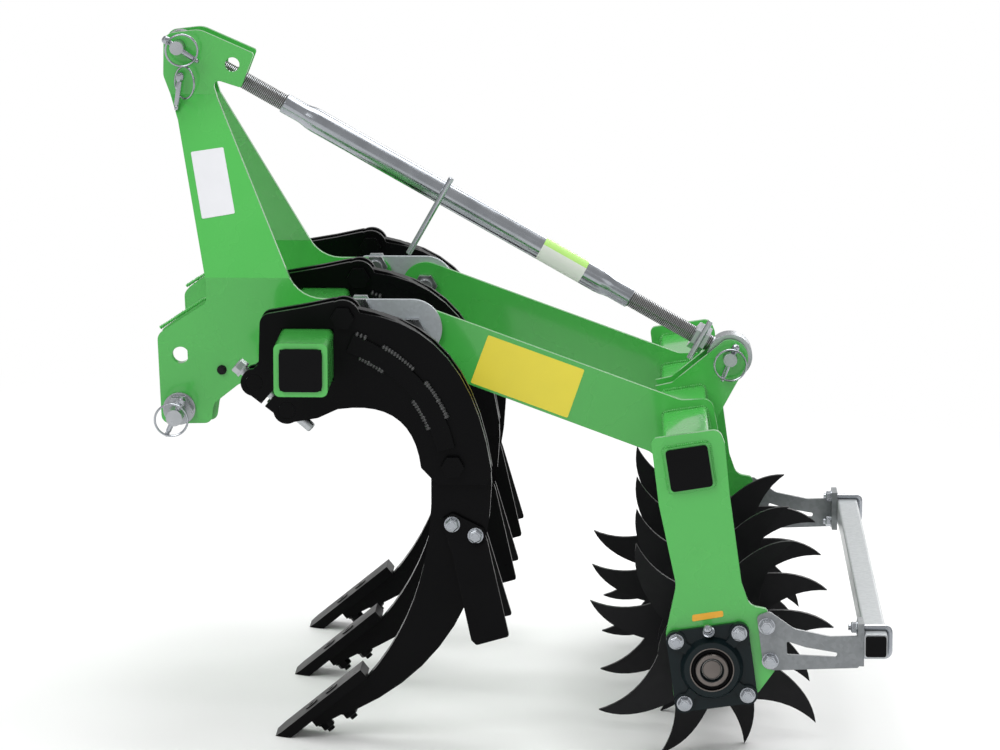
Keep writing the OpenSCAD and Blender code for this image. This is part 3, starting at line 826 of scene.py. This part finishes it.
class BoltPattern:
    """Hexagon heads or nuts with washers on a list of places."""

    def __init__(self) -> None:
        """Builds the tree for a head one unit across its flats."""
        desk = PatternDesk("bolt_pattern", Stub="Float", Seed="Int")
        washer = desk.add("GeometryNodeMeshCylinder", Vertices=20, Radius=0.66, Depth=0.12)
        head = desk.add("GeometryNodeMeshCylinder", Vertices=6, Radius=0.577, Depth=0.46)
        crown = desk.add("GeometryNodeMeshCone", Vertices=6, Radius_Top=0.46, Radius_Bottom=0.577, Depth=0.08)
        stub = desk.add("GeometryNodeMeshCylinder", Vertices=12, Radius=0.30, Depth=desk.given["Stub"])
        solid = desk.join(desk.lifted(washer, 0.06), desk.lifted(head, 0.34), desk.lifted(crown, 0.57),
                          desk.lifted(stub, 0.64))
        aim = desk.add("GeometryNodeInputNamedAttribute", {"data_type": "FLOAT_VECTOR"}, Name="aim")
        size = desk.add("GeometryNodeInputNamedAttribute", {"data_type": "FLOAT"}, Name="size")
        turn = desk.add("FunctionNodeAlignRotationToVector", {"axis": "Z"}, Vector=aim.outputs[0])
        chance = desk.add("FunctionNodeRandomValue", Min=0.0, Max=1.05, Seed=desk.given["Seed"])
        angle = desk.add("ShaderNodeCombineXYZ", Z=chance.outputs[1])
        twist = desk.add("FunctionNodeEulerToRotation", Euler=angle.outputs[0])
        spun = desk.add("FunctionNodeRotateRotation", {"rotation_space": "LOCAL"}, Rotation=turn.outputs[0],
                        Rotate_By=twist.outputs[0])
        row = desk.add("GeometryNodeInstanceOnPoints", Points=desk.given["Geometry"], Instance=solid,
                       Rotation=spun.outputs[0], Scale=size.outputs[0])
        self.desk = desk.close(row.outputs[0], flat=True)

    def build(self, name: str, body: Body, coat: Coat, bolts: Sequence[Bolt], stub: float = 0.06) -> None:
        """Makes the bolts of one body.

        Args:
            name: Name of the piece.
            body: Body that carries the bolts.
            coat: Finish of the bolts.
            bolts: Places, directions and sizes.
            stub: Length of the thread's end over the head, in units of the flats.
        """
        mesh = bpy.data.meshes.new("bolt_places")
        mesh.from_pydata([level(*bolt.at) for bolt in bolts], [], [])
        aims = [number for bolt in bolts for number in STANCE.turn() @ Vector(bolt.aim)]
        mesh.attributes.new("aim", "FLOAT_VECTOR", "POINT").data.foreach_set("vector", aims)
        mesh.attributes.new("size", "FLOAT", "POINT").data.foreach_set("value", [b.flats * MM for b in bolts])
        place(name, self.desk.bake(mesh, Material=coat.material, Stub=stub, Seed=7), body, coat)


class WeldPattern:
    """Rippled weld beads along lines."""

    def __init__(self) -> None:
        """Builds the tree."""
        desk = PatternDesk("weld_pattern", Pitch="Float", Radius="Float", Detail="Int", Seed="Int")
        line = desk.add("GeometryNodeMeshToCurve", Mesh=desk.given["Geometry"])
        row = desk.add("GeometryNodeResampleCurve", {"mode": "LENGTH"}, Curve=line.outputs[0],
                       Length=desk.given["Pitch"])
        drop = desk.add("GeometryNodeMeshIcoSphere", Radius=1.0, Subdivisions=desk.given["Detail"])
        along = desk.add("GeometryNodeInputTangent")
        turn = desk.add("FunctionNodeAlignRotationToVector", {"axis": "X"}, Vector=along.outputs[0])
        chance = desk.add("FunctionNodeRandomValue", Min=0.85, Max=1.12, Seed=desk.given["Seed"])
        size = desk.reckon("MULTIPLY", chance.outputs[1], desk.given["Radius"])
        squash = desk.add("ShaderNodeVectorMath", {"operation": "SCALE"}, Vector=(0.62, 1.0, 1.0), Scale=size)
        beads = desk.add("GeometryNodeInstanceOnPoints", Points=row.outputs[0], Instance=drop.outputs[0],
                         Rotation=turn.outputs[0], Scale=squash.outputs[0])
        self.desk = desk.close(beads.outputs[0], flat=False)

    def build(self, name: str, body: Body, coat: Coat, lines: Sequence[Sequence[Vector]], radius: float = 2.6,
              pitch: float = 2.6, detail: int = 2) -> None:
        """Makes the beads of one body.

        Args:
            name: Name of the piece.
            body: Body that carries the beads.
            coat: Finish of the beads.
            lines: Paths in level millimetres.
            radius: Radius of a bead.
            pitch: Distance from ripple to ripple.
            detail: Subdivisions of a ripple.
        """
        points, edges = [], []
        for line in lines:
            edges += [(len(points) + i, len(points) + i + 1) for i in range(len(line) - 1)]
            points += [level(*p) for p in line]
        mesh = bpy.data.meshes.new("weld_lines")
        mesh.from_pydata(points, edges, [])
        baked = self.desk.bake(mesh, Material=coat.material, Pitch=pitch * MM, Radius=radius * MM,
                               Detail=detail, Seed=11)
        place(name, baked, body, coat)


class ThreadPattern:
    """Screw threads that wind round a rod."""

    def __init__(self) -> None:
        """Builds the tree."""
        desk = PatternDesk("thread_pattern", Turns="Float", Length="Float", Radius="Float", Ridge="Float")
        radius = desk.given["Radius"]
        coil = desk.add("GeometryNodeCurveSpiral", Resolution=22, Rotations=desk.given["Turns"],
                        Start_Radius=radius, End_Radius=radius, Height=desk.given["Length"])
        upright = desk.add("GeometryNodeSetCurveNormal", {"mode": "Z_UP"}, Curve=coil.outputs[0])
        ridge = desk.add("GeometryNodeCurvePrimitiveCircle", Resolution=4, Radius=desk.given["Ridge"])
        wire = desk.add("GeometryNodeCurveToMesh", Curve=upright.outputs[0], Profile_Curve=ridge.outputs[0],
                        Fill_Caps=True)
        self.desk = desk.close(wire.outputs[0], flat=False)

    def build(self, name: str, body: Body, coat: Coat, start: Vector, aim: Vector, length: float,
              radius: float, pitch: float = 2.5, ridge: float = 0.95) -> None:
        """Makes one thread.

        Args:
            name: Name of the piece.
            body: Body that carries the rod.
            coat: Finish of the thread.
            start: Start on the rod's axis in level millimetres.
            aim: Direction of the rod.
            length: Length of the thread.
            radius: Radius of the rod under the thread.
            pitch: Distance from turn to turn.
            ridge: Radius of the thread's ridge.
        """
        base = bpy.data.meshes.new("thread_base")
        baked = self.desk.bake(base, Material=coat.material, Turns=length / pitch, Length=length,
                               Radius=radius, Ridge=ridge)
        turn = aim.to_track_quat("Z", "Y").to_matrix().to_4x4()
        baked.transform(STANCE.matrix() @ Matrix.Translation(start) @ turn)
        place(name, baked, body, coat)


@dataclass(frozen=True)
class LynchPin:
    """Lynch pin through the end of a hitch pin, with its ring."""

    name: str
    body: Body
    head: Spot
    tip: Spot
    ring_at: Spot
    ring_aim: Spot = (0.0, 1.0, 0.12)
    ring_radius: float = 22.0
    wire: float = 1.5
    shank: float = 3.6

    def build(self, shop: PaintShop) -> None:
        """Makes the pin and its ring."""
        forge = Forge()
        start, end = Vector(self.head), Vector(self.tip)
        length = (end - start).length
        r = self.shank
        forge.lathe(self.head, end - start, [
            (-3.0, 0), (-2.6, r * 0.9), (0, r * 1.5), (6, r * 1.6), (9, r * 1.2), (10, r), (length - 9, r),
            (length - 7, r * 0.72), (length - 5, r * 0.9), (length - 1.5, r * 0.7), (length, 0)], 20)
        turn = Vector(self.ring_aim).to_track_quat("Z", "Y")
        centre = Vector(self.ring_at)
        ring = [centre + turn @ Vector((x, y, 0)) for x, y in circle((0, 0), self.ring_radius, 40)]
        forge.sweep(ring, self.wire, 8, closed=True)
        forge.deliver(self.name, self.body, shop.bright)


@dataclass(frozen=True)
class BlankPlate:
    """Stuck-on plate with nothing printed on it."""

    name: str
    body: Body
    slot: Slot
    finish: BlankFoil
    corners: tuple[Spot, ...]
    outward: Spot = (0.0, -1.0, 0.0)
    rounding: float = 2.5
    thickness: float = 0.5

    def build(self) -> None:
        """Makes the plate."""
        points = [Vector(corner) for corner in self.corners]
        outline = []
        for i, here in enumerate(points):
            back = (points[i - 1] - here).normalized() * self.rounding
            ahead = (points[(i + 1) % len(points)] - here).normalized() * self.rounding
            for t in (0.0, 0.25, 0.5, 0.75, 1.0):
                outline.append(here + back * (1 - t) ** 2 + ahead * t * t)
        forge = Forge()
        forge.slab(outline, Vector(self.outward).normalized() * self.thickness)
        forge.deliver(self.name, self.body, Coat(self.slot, self.finish.make()), smooth=20.0)


@dataclass(frozen=True)
class Headstock:
    """Trim of the three-point headstock: pins, welds, small bolts and the blank plate."""

    plate_y: float = 210.0
    plate_t: float = 10.0
    bar_half: float = 35.0
    lower_pin_y: float = 281.0
    small_hole: Point = (-126.0, -46.0)
    small_flats: float = 10.0
    doubler_edge: tuple[Point, ...] = ((-209.0, 10.0), (-150.0, 49.0), (-112.0, 49.0))
    mast_plate: tuple[Spot, ...] = (
        (-176.1, -89.7, 235.7), (-131.8, -84.9, 241.9), (-111.4, -148.8, 158.9), (-156.0, -154.2, 151.9))
    mast_outward: Spot = (0.0, -0.7925, 0.6099)

    def build(self, shop: PaintShop, bolts: BoltPattern, welds: WeldPattern) -> None:
        """Makes the pieces."""
        for pin in self.pins():
            pin.build(shop)
        x, z = self.small_hole
        places = [Bolt((x, side * self.plate_y, z), (0, side, 0), self.small_flats) for side in SIDES]
        bolts.build("hitch_small_bolts", Body.FRAME, shop.coats[Slot.DARK], places)
        welds.build("hitch_welds", Body.FRAME, shop.coats[Slot.GREEN], self.weld_lines())
        BlankPlate("mast_plate", Body.FRAME, Slot.GREEN, BlankFoil("white_foil", linear(222, 223, 227)),
                   self.mast_plate, self.mast_outward).build()

    def pins(self) -> list[LynchPin]:
        """Lynch pins of the top pin and of both lower pins, and the spare one on the mast."""
        rows = [
            LynchPin("top_lynch_pin", Body.FRAME, (-214, -54, 387), (-167, -54, 355), (-190, -61, 372)),
            LynchPin("spare_lynch_pin", Body.FRAME, (-193, -50, 338), (-199, -53, 288), (-187, -52, 327),
                     (0.75, 0.66, 0.0)),
        ]
        x, z = LOWER_PIN_AT
        for side, name in ((LEFT, "left"), (RIGHT, "right")):
            y = side * self.lower_pin_y
            rows.append(LynchPin("lower_lynch_pin_" + name, Body.FRAME, (x + 10, y, z + 24),
                                 (x - 12, y, z - 27), (x - 4, y + side * 8, z - 3)))
        return rows

    def weld_lines(self) -> list[list[Vector]]:
        """Lines round the toolbar on both faces of each plate, and up the doublers' front edges."""
        square = turned_square((0, 0), 2 * self.bar_half + 1, 0, 8)
        inner = self.plate_y - self.plate_t
        lines = [at_y(square + square[:1], side * y) for side in SIDES for y in (self.plate_y, inner)]
        return lines + [at_y(self.doubler_edge, side * (inner - 1)) for side in SIDES]


@dataclass(frozen=True)
class LegSet:
    """Trim of the three clamped legs: stitch welds on the strips, bolts of wings and shares."""

    places: tuple[float, ...] = (-350.0, 30.0, 350.0)
    leg_half: float = 12.5
    wing_t: float = 8.0
    wing_holes: tuple[Point, ...] = ((191.0, -226.0), (222.0, -241.0))
    wing_flats: float = 16.0
    heel: Point = (69.0, -422.0)
    tip: Point = (-45.0, -514.0)
    share_holes: tuple[float, ...] = (52.0, 86.0)
    foot_depths: tuple[float, ...] = (34.0, 28.0)
    share_flats: float = 17.0
    clamp_from: Point = (-70.0, -37.0)
    clamp_to: Point = (-27.0, -74.0)
    strip_y: float = 24.5
    strip_bend: tuple[Point, Point, Point] = ((52.0, 6.0), (150.0, -30.0), (172.0, -128.0))
    upper_edge: float = 25.5
    lower_edge: float = -1.5
    upper_stitches: tuple[tuple[int, int], ...] = ((1, 4), (8, 18), (22, 33))
    lower_stitches: tuple[tuple[int, int], ...] = ((4, 12), (24, 34))

    def build(self, shop: PaintShop, bolts: BoltPattern, welds: WeldPattern) -> None:
        """Makes the pieces."""
        black = shop.coats[Slot.BLACK]
        bolts.build("wing_bolts", Body.FRAME, shop.bright, self.wing_bolts())
        bolts.build("share_nuts", Body.FRAME, black, self.share_nuts(), stub=0.55)
        welds.build("strip_welds", Body.FRAME, shop.weld, self.strip_lines(), radius=4.6, pitch=4.0)
        self.share_heads(black)
        self.clamp_screws(shop.coats[Slot.ZINC])

    def wing_bolts(self) -> list[Bolt]:
        """Two bolts through each wing's root."""
        face = self.leg_half + self.wing_t
        return [Bolt((x, y + side * face, z), (0, side, 0), self.wing_flats)
                for y in self.places for side in SIDES for x, z in self.wing_holes]

    def foot(self, along: float, depth: float) -> Point:
        """Point behind the share's face: along it from the heel, and into the foot."""
        run = Vector((self.tip[0] - self.heel[0], self.tip[1] - self.heel[1])).normalized()
        return (self.heel[0] + run.x * along - run.y * depth, self.heel[1] + run.y * along + run.x * depth)

    def inward(self) -> Vector:
        """Direction from the share's face into the foot."""
        near, far = self.foot(0, 0), self.foot(0, 1)
        return Vector((far[0] - near[0], 0, far[1] - near[1]))

    def share_nuts(self) -> list[Bolt]:
        """Two nuts under each foot."""
        spots = [self.foot(along, depth) for along, depth in zip(self.share_holes, self.foot_depths)]
        return [Bolt((x, y, z), self.inward(), self.share_flats) for y in self.places for x, z in spots]

    def share_heads(self, coat: Coat) -> None:
        """Countersunk heads in the shares' faces."""
        forge = Forge()
        profile = [(0, 0), (0, 9), (2.5, 10), (3.2, 9.4), (3.2, 4.2), (1.4, 3.6), (1.4, 0)]
        for y in self.places:
            for along in self.share_holes:
                x, z = self.foot(along, 2)
                forge.lathe((x, y, z), -self.inward(), profile, 24)
        forge.deliver("share_bolt_heads", Body.FRAME, coat)

    def clamp_screws(self, coat: Coat) -> None:
        """Screws that pull the brackets' lobes together round the toolbar."""
        forge = Forge()
        for y in self.places:
            base, end = at_y((self.clamp_from, self.clamp_to), y)
            aim, span = (end - base).normalized(), (end - base).length
            head = [(-33, 0), (-33, 9.4), (-32, 10.8), (-23, 10.8), (-23, 0)]
            washer = [(-23, 0), (-23, 11.5), (-20, 11.5)]
            shank = [(-20, 7), (span + 40, 7), (span + 42, 5), (span + 42, 0)]
            forge.lathe(base, aim, head, 6, spin=12)
            forge.lathe(base, aim, washer + shank, 24)
        forge.deliver("clamp_screws", Body.FRAME, coat, ["clamp_bolts"])

    def strip_lines(self) -> list[list[Vector]]:
        """Stitches along both edges of each strip."""
        path = bend(*self.strip_bend, 40)
        rows = [(shifted(path, self.upper_edge), self.upper_stitches),
                (shifted(path, self.lower_edge), self.lower_stitches)]
        return [at_y(edge[first:last], y + side * self.strip_y) for edge, stitches in rows
                for first, last in stitches for y in self.places for side in SIDES]


@dataclass(frozen=True)
class RollerFrame:
    """Trim of the swinging frame: welds, bearing parts, U-bolts, pins and blank plates."""

    side_y: float = 488.0
    side_t: float = 10.0
    housing_t: float = 14.0
    cross_at: Point = (503.0, -127.0)
    cross_w: float = 60.0
    lean: float = 9.0
    arm_faces: Point = (200.5, 209.5)
    lug_faces: Point = (23.0, 31.0)
    bolt_square: float = 83.0
    bearing_flats: float = 15.5
    nipple_at: Spot = (-4.0, 15.0, 47.0)
    nipple_aim: Spot = (-0.15, 0.75, 0.6)
    bracket_t: float = 6.0
    bracket_holes: tuple[Point, ...] = ((605.0, -335.0), (610.0, -381.0))
    bracket_flats: float = 17.0
    scraper_at: Point = (747.0, -360.0)
    scraper_half: float = 15.0
    flange_t: float = 8.0
    bow_y: float = 470.0
    bow_wire: float = 4.0
    bow_tail: float = 12.0
    bow_bend: float = 7.0
    bow_flats: float = 13.0
    arm_plate: tuple[Spot, ...] = (
        (234, -209.5, 3), (364, -209.5, -44), (341, -209.5, -110), (210, -209.5, -62))
    bearing_plate: tuple[Spot, ...] = (
        (508, -488, -322), (548, -488, -316), (549, -488, -324), (508, -488, -331))

    def build(self, shop: PaintShop, bolts: BoltPattern, welds: WeldPattern) -> None:
        """Makes the pieces."""
        body = Body.ROLLER_FRAME
        bolts.build("frame_bolts", body, shop.bright, self.plate_bolts())
        bolts.build("bow_nuts", body, shop.bright, self.bow_nuts(), stub=0.4)
        welds.build("frame_welds", body, shop.coats[Slot.GREEN], self.weld_lines())
        self.build_bows(shop.bright)
        self.build_bearings(shop)
        LynchPin("lug_lynch_pin", body, (571, -45, -37), (551, -45, -86), (563, -52, -62)).build(shop)
        for name, foil, corners in (
                ("arm_plate", BlankFoil("yellow_foil", linear(246, 228, 70)), self.arm_plate),
                ("bearing_plate", BlankFoil("orange_foil", linear(240, 176, 48)), self.bearing_plate)):
            BlankPlate(name, body, Slot.GREEN, foil, corners).build()

    def plate_bolts(self) -> list[Bolt]:
        """Bolts of the bearings and, with their nuts, of the scraper brackets."""
        half = self.bolt_square / 2
        spots = [turned(AXLE_AT, sx * half, sz * half, self.lean - 1) for sx, sz in CORNERS]
        rows = [(spots, self.side_y + self.housing_t, 1, self.bearing_flats),
                (self.bracket_holes, self.side_y + self.bracket_t, 1, self.bracket_flats),
                (self.bracket_holes, self.side_y - self.side_t, -1, self.bracket_flats)]
        return [Bolt((x, side * y, z), (0, side * out, 0), flats) for holes, y, out, flats in rows
                for side in SIDES for x, z in holes]

    def bow_nuts(self) -> list[Bolt]:
        """Nuts behind the scraper brackets' flanges."""
        x, z = self.scraper_at[0] - self.scraper_half - self.flange_t, self.scraper_at[1]
        reach = self.scraper_half + self.bow_wire
        return [Bolt((x, side * self.bow_y, z + up * reach), (-1, 0, 0), self.bow_flats)
                for side in SIDES for up in SIDES]

    def weld_lines(self) -> list[list[Vector]]:
        """Lines round the cross tube at the side plates, arms and lugs."""
        square = turned_square(self.cross_at, self.cross_w + 1, self.lean, 7)
        rows = (self.side_y - self.side_t, self.side_y, *self.arm_faces)
        lines = [at_y(square + square[:1], side * y) for side in SIDES for y in rows]
        top = square[16:] + square[:10]
        return lines + [at_y(top, side * y) for side in SIDES for y in self.lug_faces]

    def build_bows(self, coat: Coat) -> None:
        """U-bolts bent round the scraper bar."""
        forge = Forge()
        x, z = self.scraper_at
        tail = -self.scraper_half - self.flange_t - self.bow_tail
        reach, r = self.scraper_half + self.bow_wire, self.bow_bend
        bow = [(tail, reach), (reach - r, reach)]
        bow += [(reach - r + r * math.sin(a), reach - r + r * math.cos(a))
                for a in (math.radians(15 * k) for k in range(1, 7))]
        bow += [(px, -pz) for px, pz in reversed(bow)]
        for side in SIDES:
            forge.sweep(at_y([(x + px, z + pz) for px, pz in bow], side * self.bow_y), self.bow_wire, 14)
        forge.deliver("scraper_bows", Body.ROLLER_FRAME, coat, ["scraper_clamps"])

    def build_bearings(self, shop: PaintShop) -> None:
        """Seal rims, inner rings and grease nipples."""
        rings, seals, nipples = Forge(), Forge(), Forge()
        x, z = AXLE_AT
        inner = [(19, 15.3), (19, 21.4), (27.2, 21.4), (28.4, 20.4), (28.4, 16.2), (27.6, 15.3)]
        rim = [(22, 27.4), (24.5, 27.4), (24.5, 28.9), (22, 28.9)]
        seal = [(17, 21.2), (20.5, 21.2), (21.6, 24), (20.5, 28.2), (17, 28.2)]
        nipple = [(0, 0), (0, 8), (4, 8), (4.6, 6.2), (9, 6.2), (10, 4.4), (11, 5.8), (14, 5.8), (16, 3.4),
                  (16, 0)]
        along, out_by, up = self.nipple_at
        lean_x, lean_y, lean_z = self.nipple_aim
        for side in SIDES:
            start, out = (x, side * self.side_y, z), (0, side, 0)
            rings.lathe(start, out, inner, 48, hollow=True)
            rings.lathe(start, out, rim, 64, hollow=True)
            seals.lathe(start, out, seal, 48, hollow=True)
            nipples.lathe((x + along, side * (self.side_y + out_by), z + up), (lean_x, side * lean_y, lean_z),
                          nipple, 16)
        rings.deliver("bearing_rings", Body.ROLLER_FRAME, shop.ring)
        seals.deliver("bearing_seals", Body.ROLLER_FRAME, shop.coats[Slot.PLASTIC])
        nipples.deliver("grease_nipples", Body.ROLLER_FRAME, shop.bright)


@dataclass(frozen=True)
class Roller:
    """Dress of the roller: its tube with closed ends, darker discs on the shaft ends as painted shade, and
    the welds of its spiked discs.
    """

    tube_half: float = 447.0
    tube_r: float = 44.45
    shaft_r: float = 15.0
    shaft_half: float = 509.0
    discs: int = 11
    run: float = 417.0
    disc_half: float = 4.0

    def build(self, shop: PaintShop, welds: WeldPattern) -> None:
        """Makes the pieces."""
        barrel, end_shade = Forge(), Forge()
        r, s = self.tube_r, self.shaft_r
        tip, rim = self.shaft_half, self.tube_half
        end = [(tip, 0), (tip, s - 2), (tip - 2, s), (rim - 5, s), (rim - 5, r - 4.5), (rim, r - 4),
               (rim, r - 0.8), (rim - 0.8, r)]
        other = [(-along, radius) for along, radius in end]
        barrel.lathe(*at_y([AXLE_AT], 0), (0, 1, 0), other + end[::-1], 64)
        barrel.deliver("roller_barrel", Body.ROLLER, shop.coats[Slot.STEEL], ["roller_tube"])
        # Discs of the darker ring steel over the shaft ends: painted shade for the hollow inside the
        # bearings' inner rings.
        profile = [(0, 0), (0, 12.9), (1.2, 12.4), (1.8, 11.6), (1.5, 6), (1.5, 0)]
        for side in SIDES:
            end_shade.lathe(*at_y([AXLE_AT], side * (tip - 1)), (0, side, 0), profile, 32)
        end_shade.deliver("shaft_end_shade", Body.ROLLER, shop.ring)
        welds.build("disc_welds", Body.ROLLER, shop.coats[Slot.DARK], self.weld_lines(), radius=2.8,
                    pitch=3.6, detail=1)

    def weld_lines(self) -> list[list[Vector]]:
        """Circles at both faces of each disc."""
        ring = circle(AXLE_AT, self.tube_r + 0.6, 48)
        middles = [self.run * (2 * i / (self.discs - 1) - 1) for i in range(self.discs)]
        return [at_y(ring + ring[:1], middle + side * (self.disc_half + 0.6))
                for middle in middles for side in SIDES]


@dataclass(frozen=True)
class Turnbuckle:
    """Dress of the turnbuckle: drawn-in tube with its handle, and threads on both rods."""

    front_free: float = 164.0
    rear_free: float = 159.0
    rod_r: float = 11.0
    neck_r: float = 14.0
    tube_r: float = 16.85
    neck: float = 42.0
    handle_at: float = 416.0
    handle_r: float = 4.0
    handle_below: float = 96.0
    handle_len: float = 122.0
    wrap_at: float = 572.0
    wrap_len: float = 68.0
    hidden: float = 70.0
    front_eye: float = 19.0
    rear_eye: float = 31.0

    @property
    def start(self) -> Vector:
        """Axis of the top pin."""
        return Vector((TOP_PIN_AT[0], 0, TOP_PIN_AT[1]))

    @property
    def length(self) -> float:
        """Distance between the two pins."""
        return (Vector((LUG_PIN_AT[0], 0, LUG_PIN_AT[1])) - self.start).length

    @property
    def aim(self) -> Vector:
        """Direction from the top pin to the rear pin."""
        return (Vector((LUG_PIN_AT[0], 0, LUG_PIN_AT[1])) - self.start).normalized()

    @property
    def up(self) -> Vector:
        """Direction square to the rods in the side view."""
        return Vector((-self.aim.z, 0, self.aim.x))

    def build(self, shop: PaintShop, threads: ThreadPattern) -> None:
        """Makes the pieces."""
        self.build_tube(shop)
        front, rear = self.front_free + self.hidden, self.rear_free + self.hidden
        for name, body, first, length in (
                ("front_thread", Body.TIE_FRONT, self.front_eye, front - self.front_eye),
                ("rear_thread", Body.TIE_REAR, self.length - rear, rear - self.rear_eye)):
            threads.build(name, body, shop.screw, self.start + self.aim * first, self.aim, length, self.rod_r)
        self.build_wrap("tie_plate", BlankFoil("pale_foil", linear(222, 226, 218)), (-70, 28))
        self.build_wrap("tie_plate_stripe", BlankFoil("lime_foil", linear(178, 226, 120)), (28, 80))

    def build_wrap(self, name: str, finish: BlankFoil, angles: Point) -> None:
        """Blank foil bent round the tube.

        Args:
            name: Name of the piece.
            finish: Its finish.
            angles: First and last angle round the tube from its left side, upwards, in degrees.
        """
        steps = 10
        turns = [math.radians(angles[0] + (angles[1] - angles[0]) * i / steps) for i in range(steps + 1)]
        section = [(self.tube_r + 0.35, a) for a in turns] + [(self.tube_r - 0.3, a) for a in reversed(turns)]
        middle = self.start + self.aim * self.wrap_at
        outline = [middle - Vector((0, r * math.cos(a), 0)) + self.up * r * math.sin(a) for r, a in section]
        forge = Forge()
        forge.slab(outline, self.aim * self.wrap_len, 0.0)
        forge.deliver(name, Body.TIE_MIDDLE, Coat(Slot.ZINC, finish.make()))

    def build_tube(self, shop: PaintShop) -> None:
        """Tube whose ends are drawn in to the nuts, with the handle welded across it."""
        forge = Forge()
        first, last = self.front_free, self.length - self.rear_free
        bore, n, r = self.rod_r + 0.4, self.neck_r, self.tube_r
        rise = [(first, bore), (first, n - 1), (first + 1, n), (first + self.neck * 0.7, n),
                (first + self.neck * 0.85, n + (r - n) * 0.3), (first + self.neck, r - 0.6),
                (first + self.neck + 8, r)]
        middle = first + last
        fall = [(middle - along, radius) for along, radius in reversed(rise)]
        forge.lathe(self.start, self.aim, rise + fall, 40, hollow=True)
        side = Vector((0, -(self.tube_r + self.handle_r - 1), 0))
        root = self.start + self.aim * self.handle_at + side - self.up * self.handle_below
        h, end = self.handle_r, self.handle_len
        forge.lathe(root, self.up, [(0, 0), (0, h - 1), (1, h), (end - 1, h), (end, h - 1), (end, 0)], 20)
        forge.deliver("tie_barrel", Body.TIE_MIDDLE, shop.bright, ["tie_tube"])


def main() -> None:
    """Builds the scene piece by piece."""
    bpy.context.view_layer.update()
    StudioCamera().build()
    Studio().build()
    shop = PaintShop()
    shop.coat_nodes()
    bolts, welds, threads = BoltPattern(), WeldPattern(), ThreadPattern()
    Headstock().build(shop, bolts, welds)
    LegSet().build(shop, bolts, welds)
    RollerFrame().build(shop, bolts, welds)
    Roller().build(shop, welds)
    Turnbuckle().build(shop, threads)
    bpy.context.scene.view_settings.view_transform = "Standard"


if __name__ == "__main__":
    main()
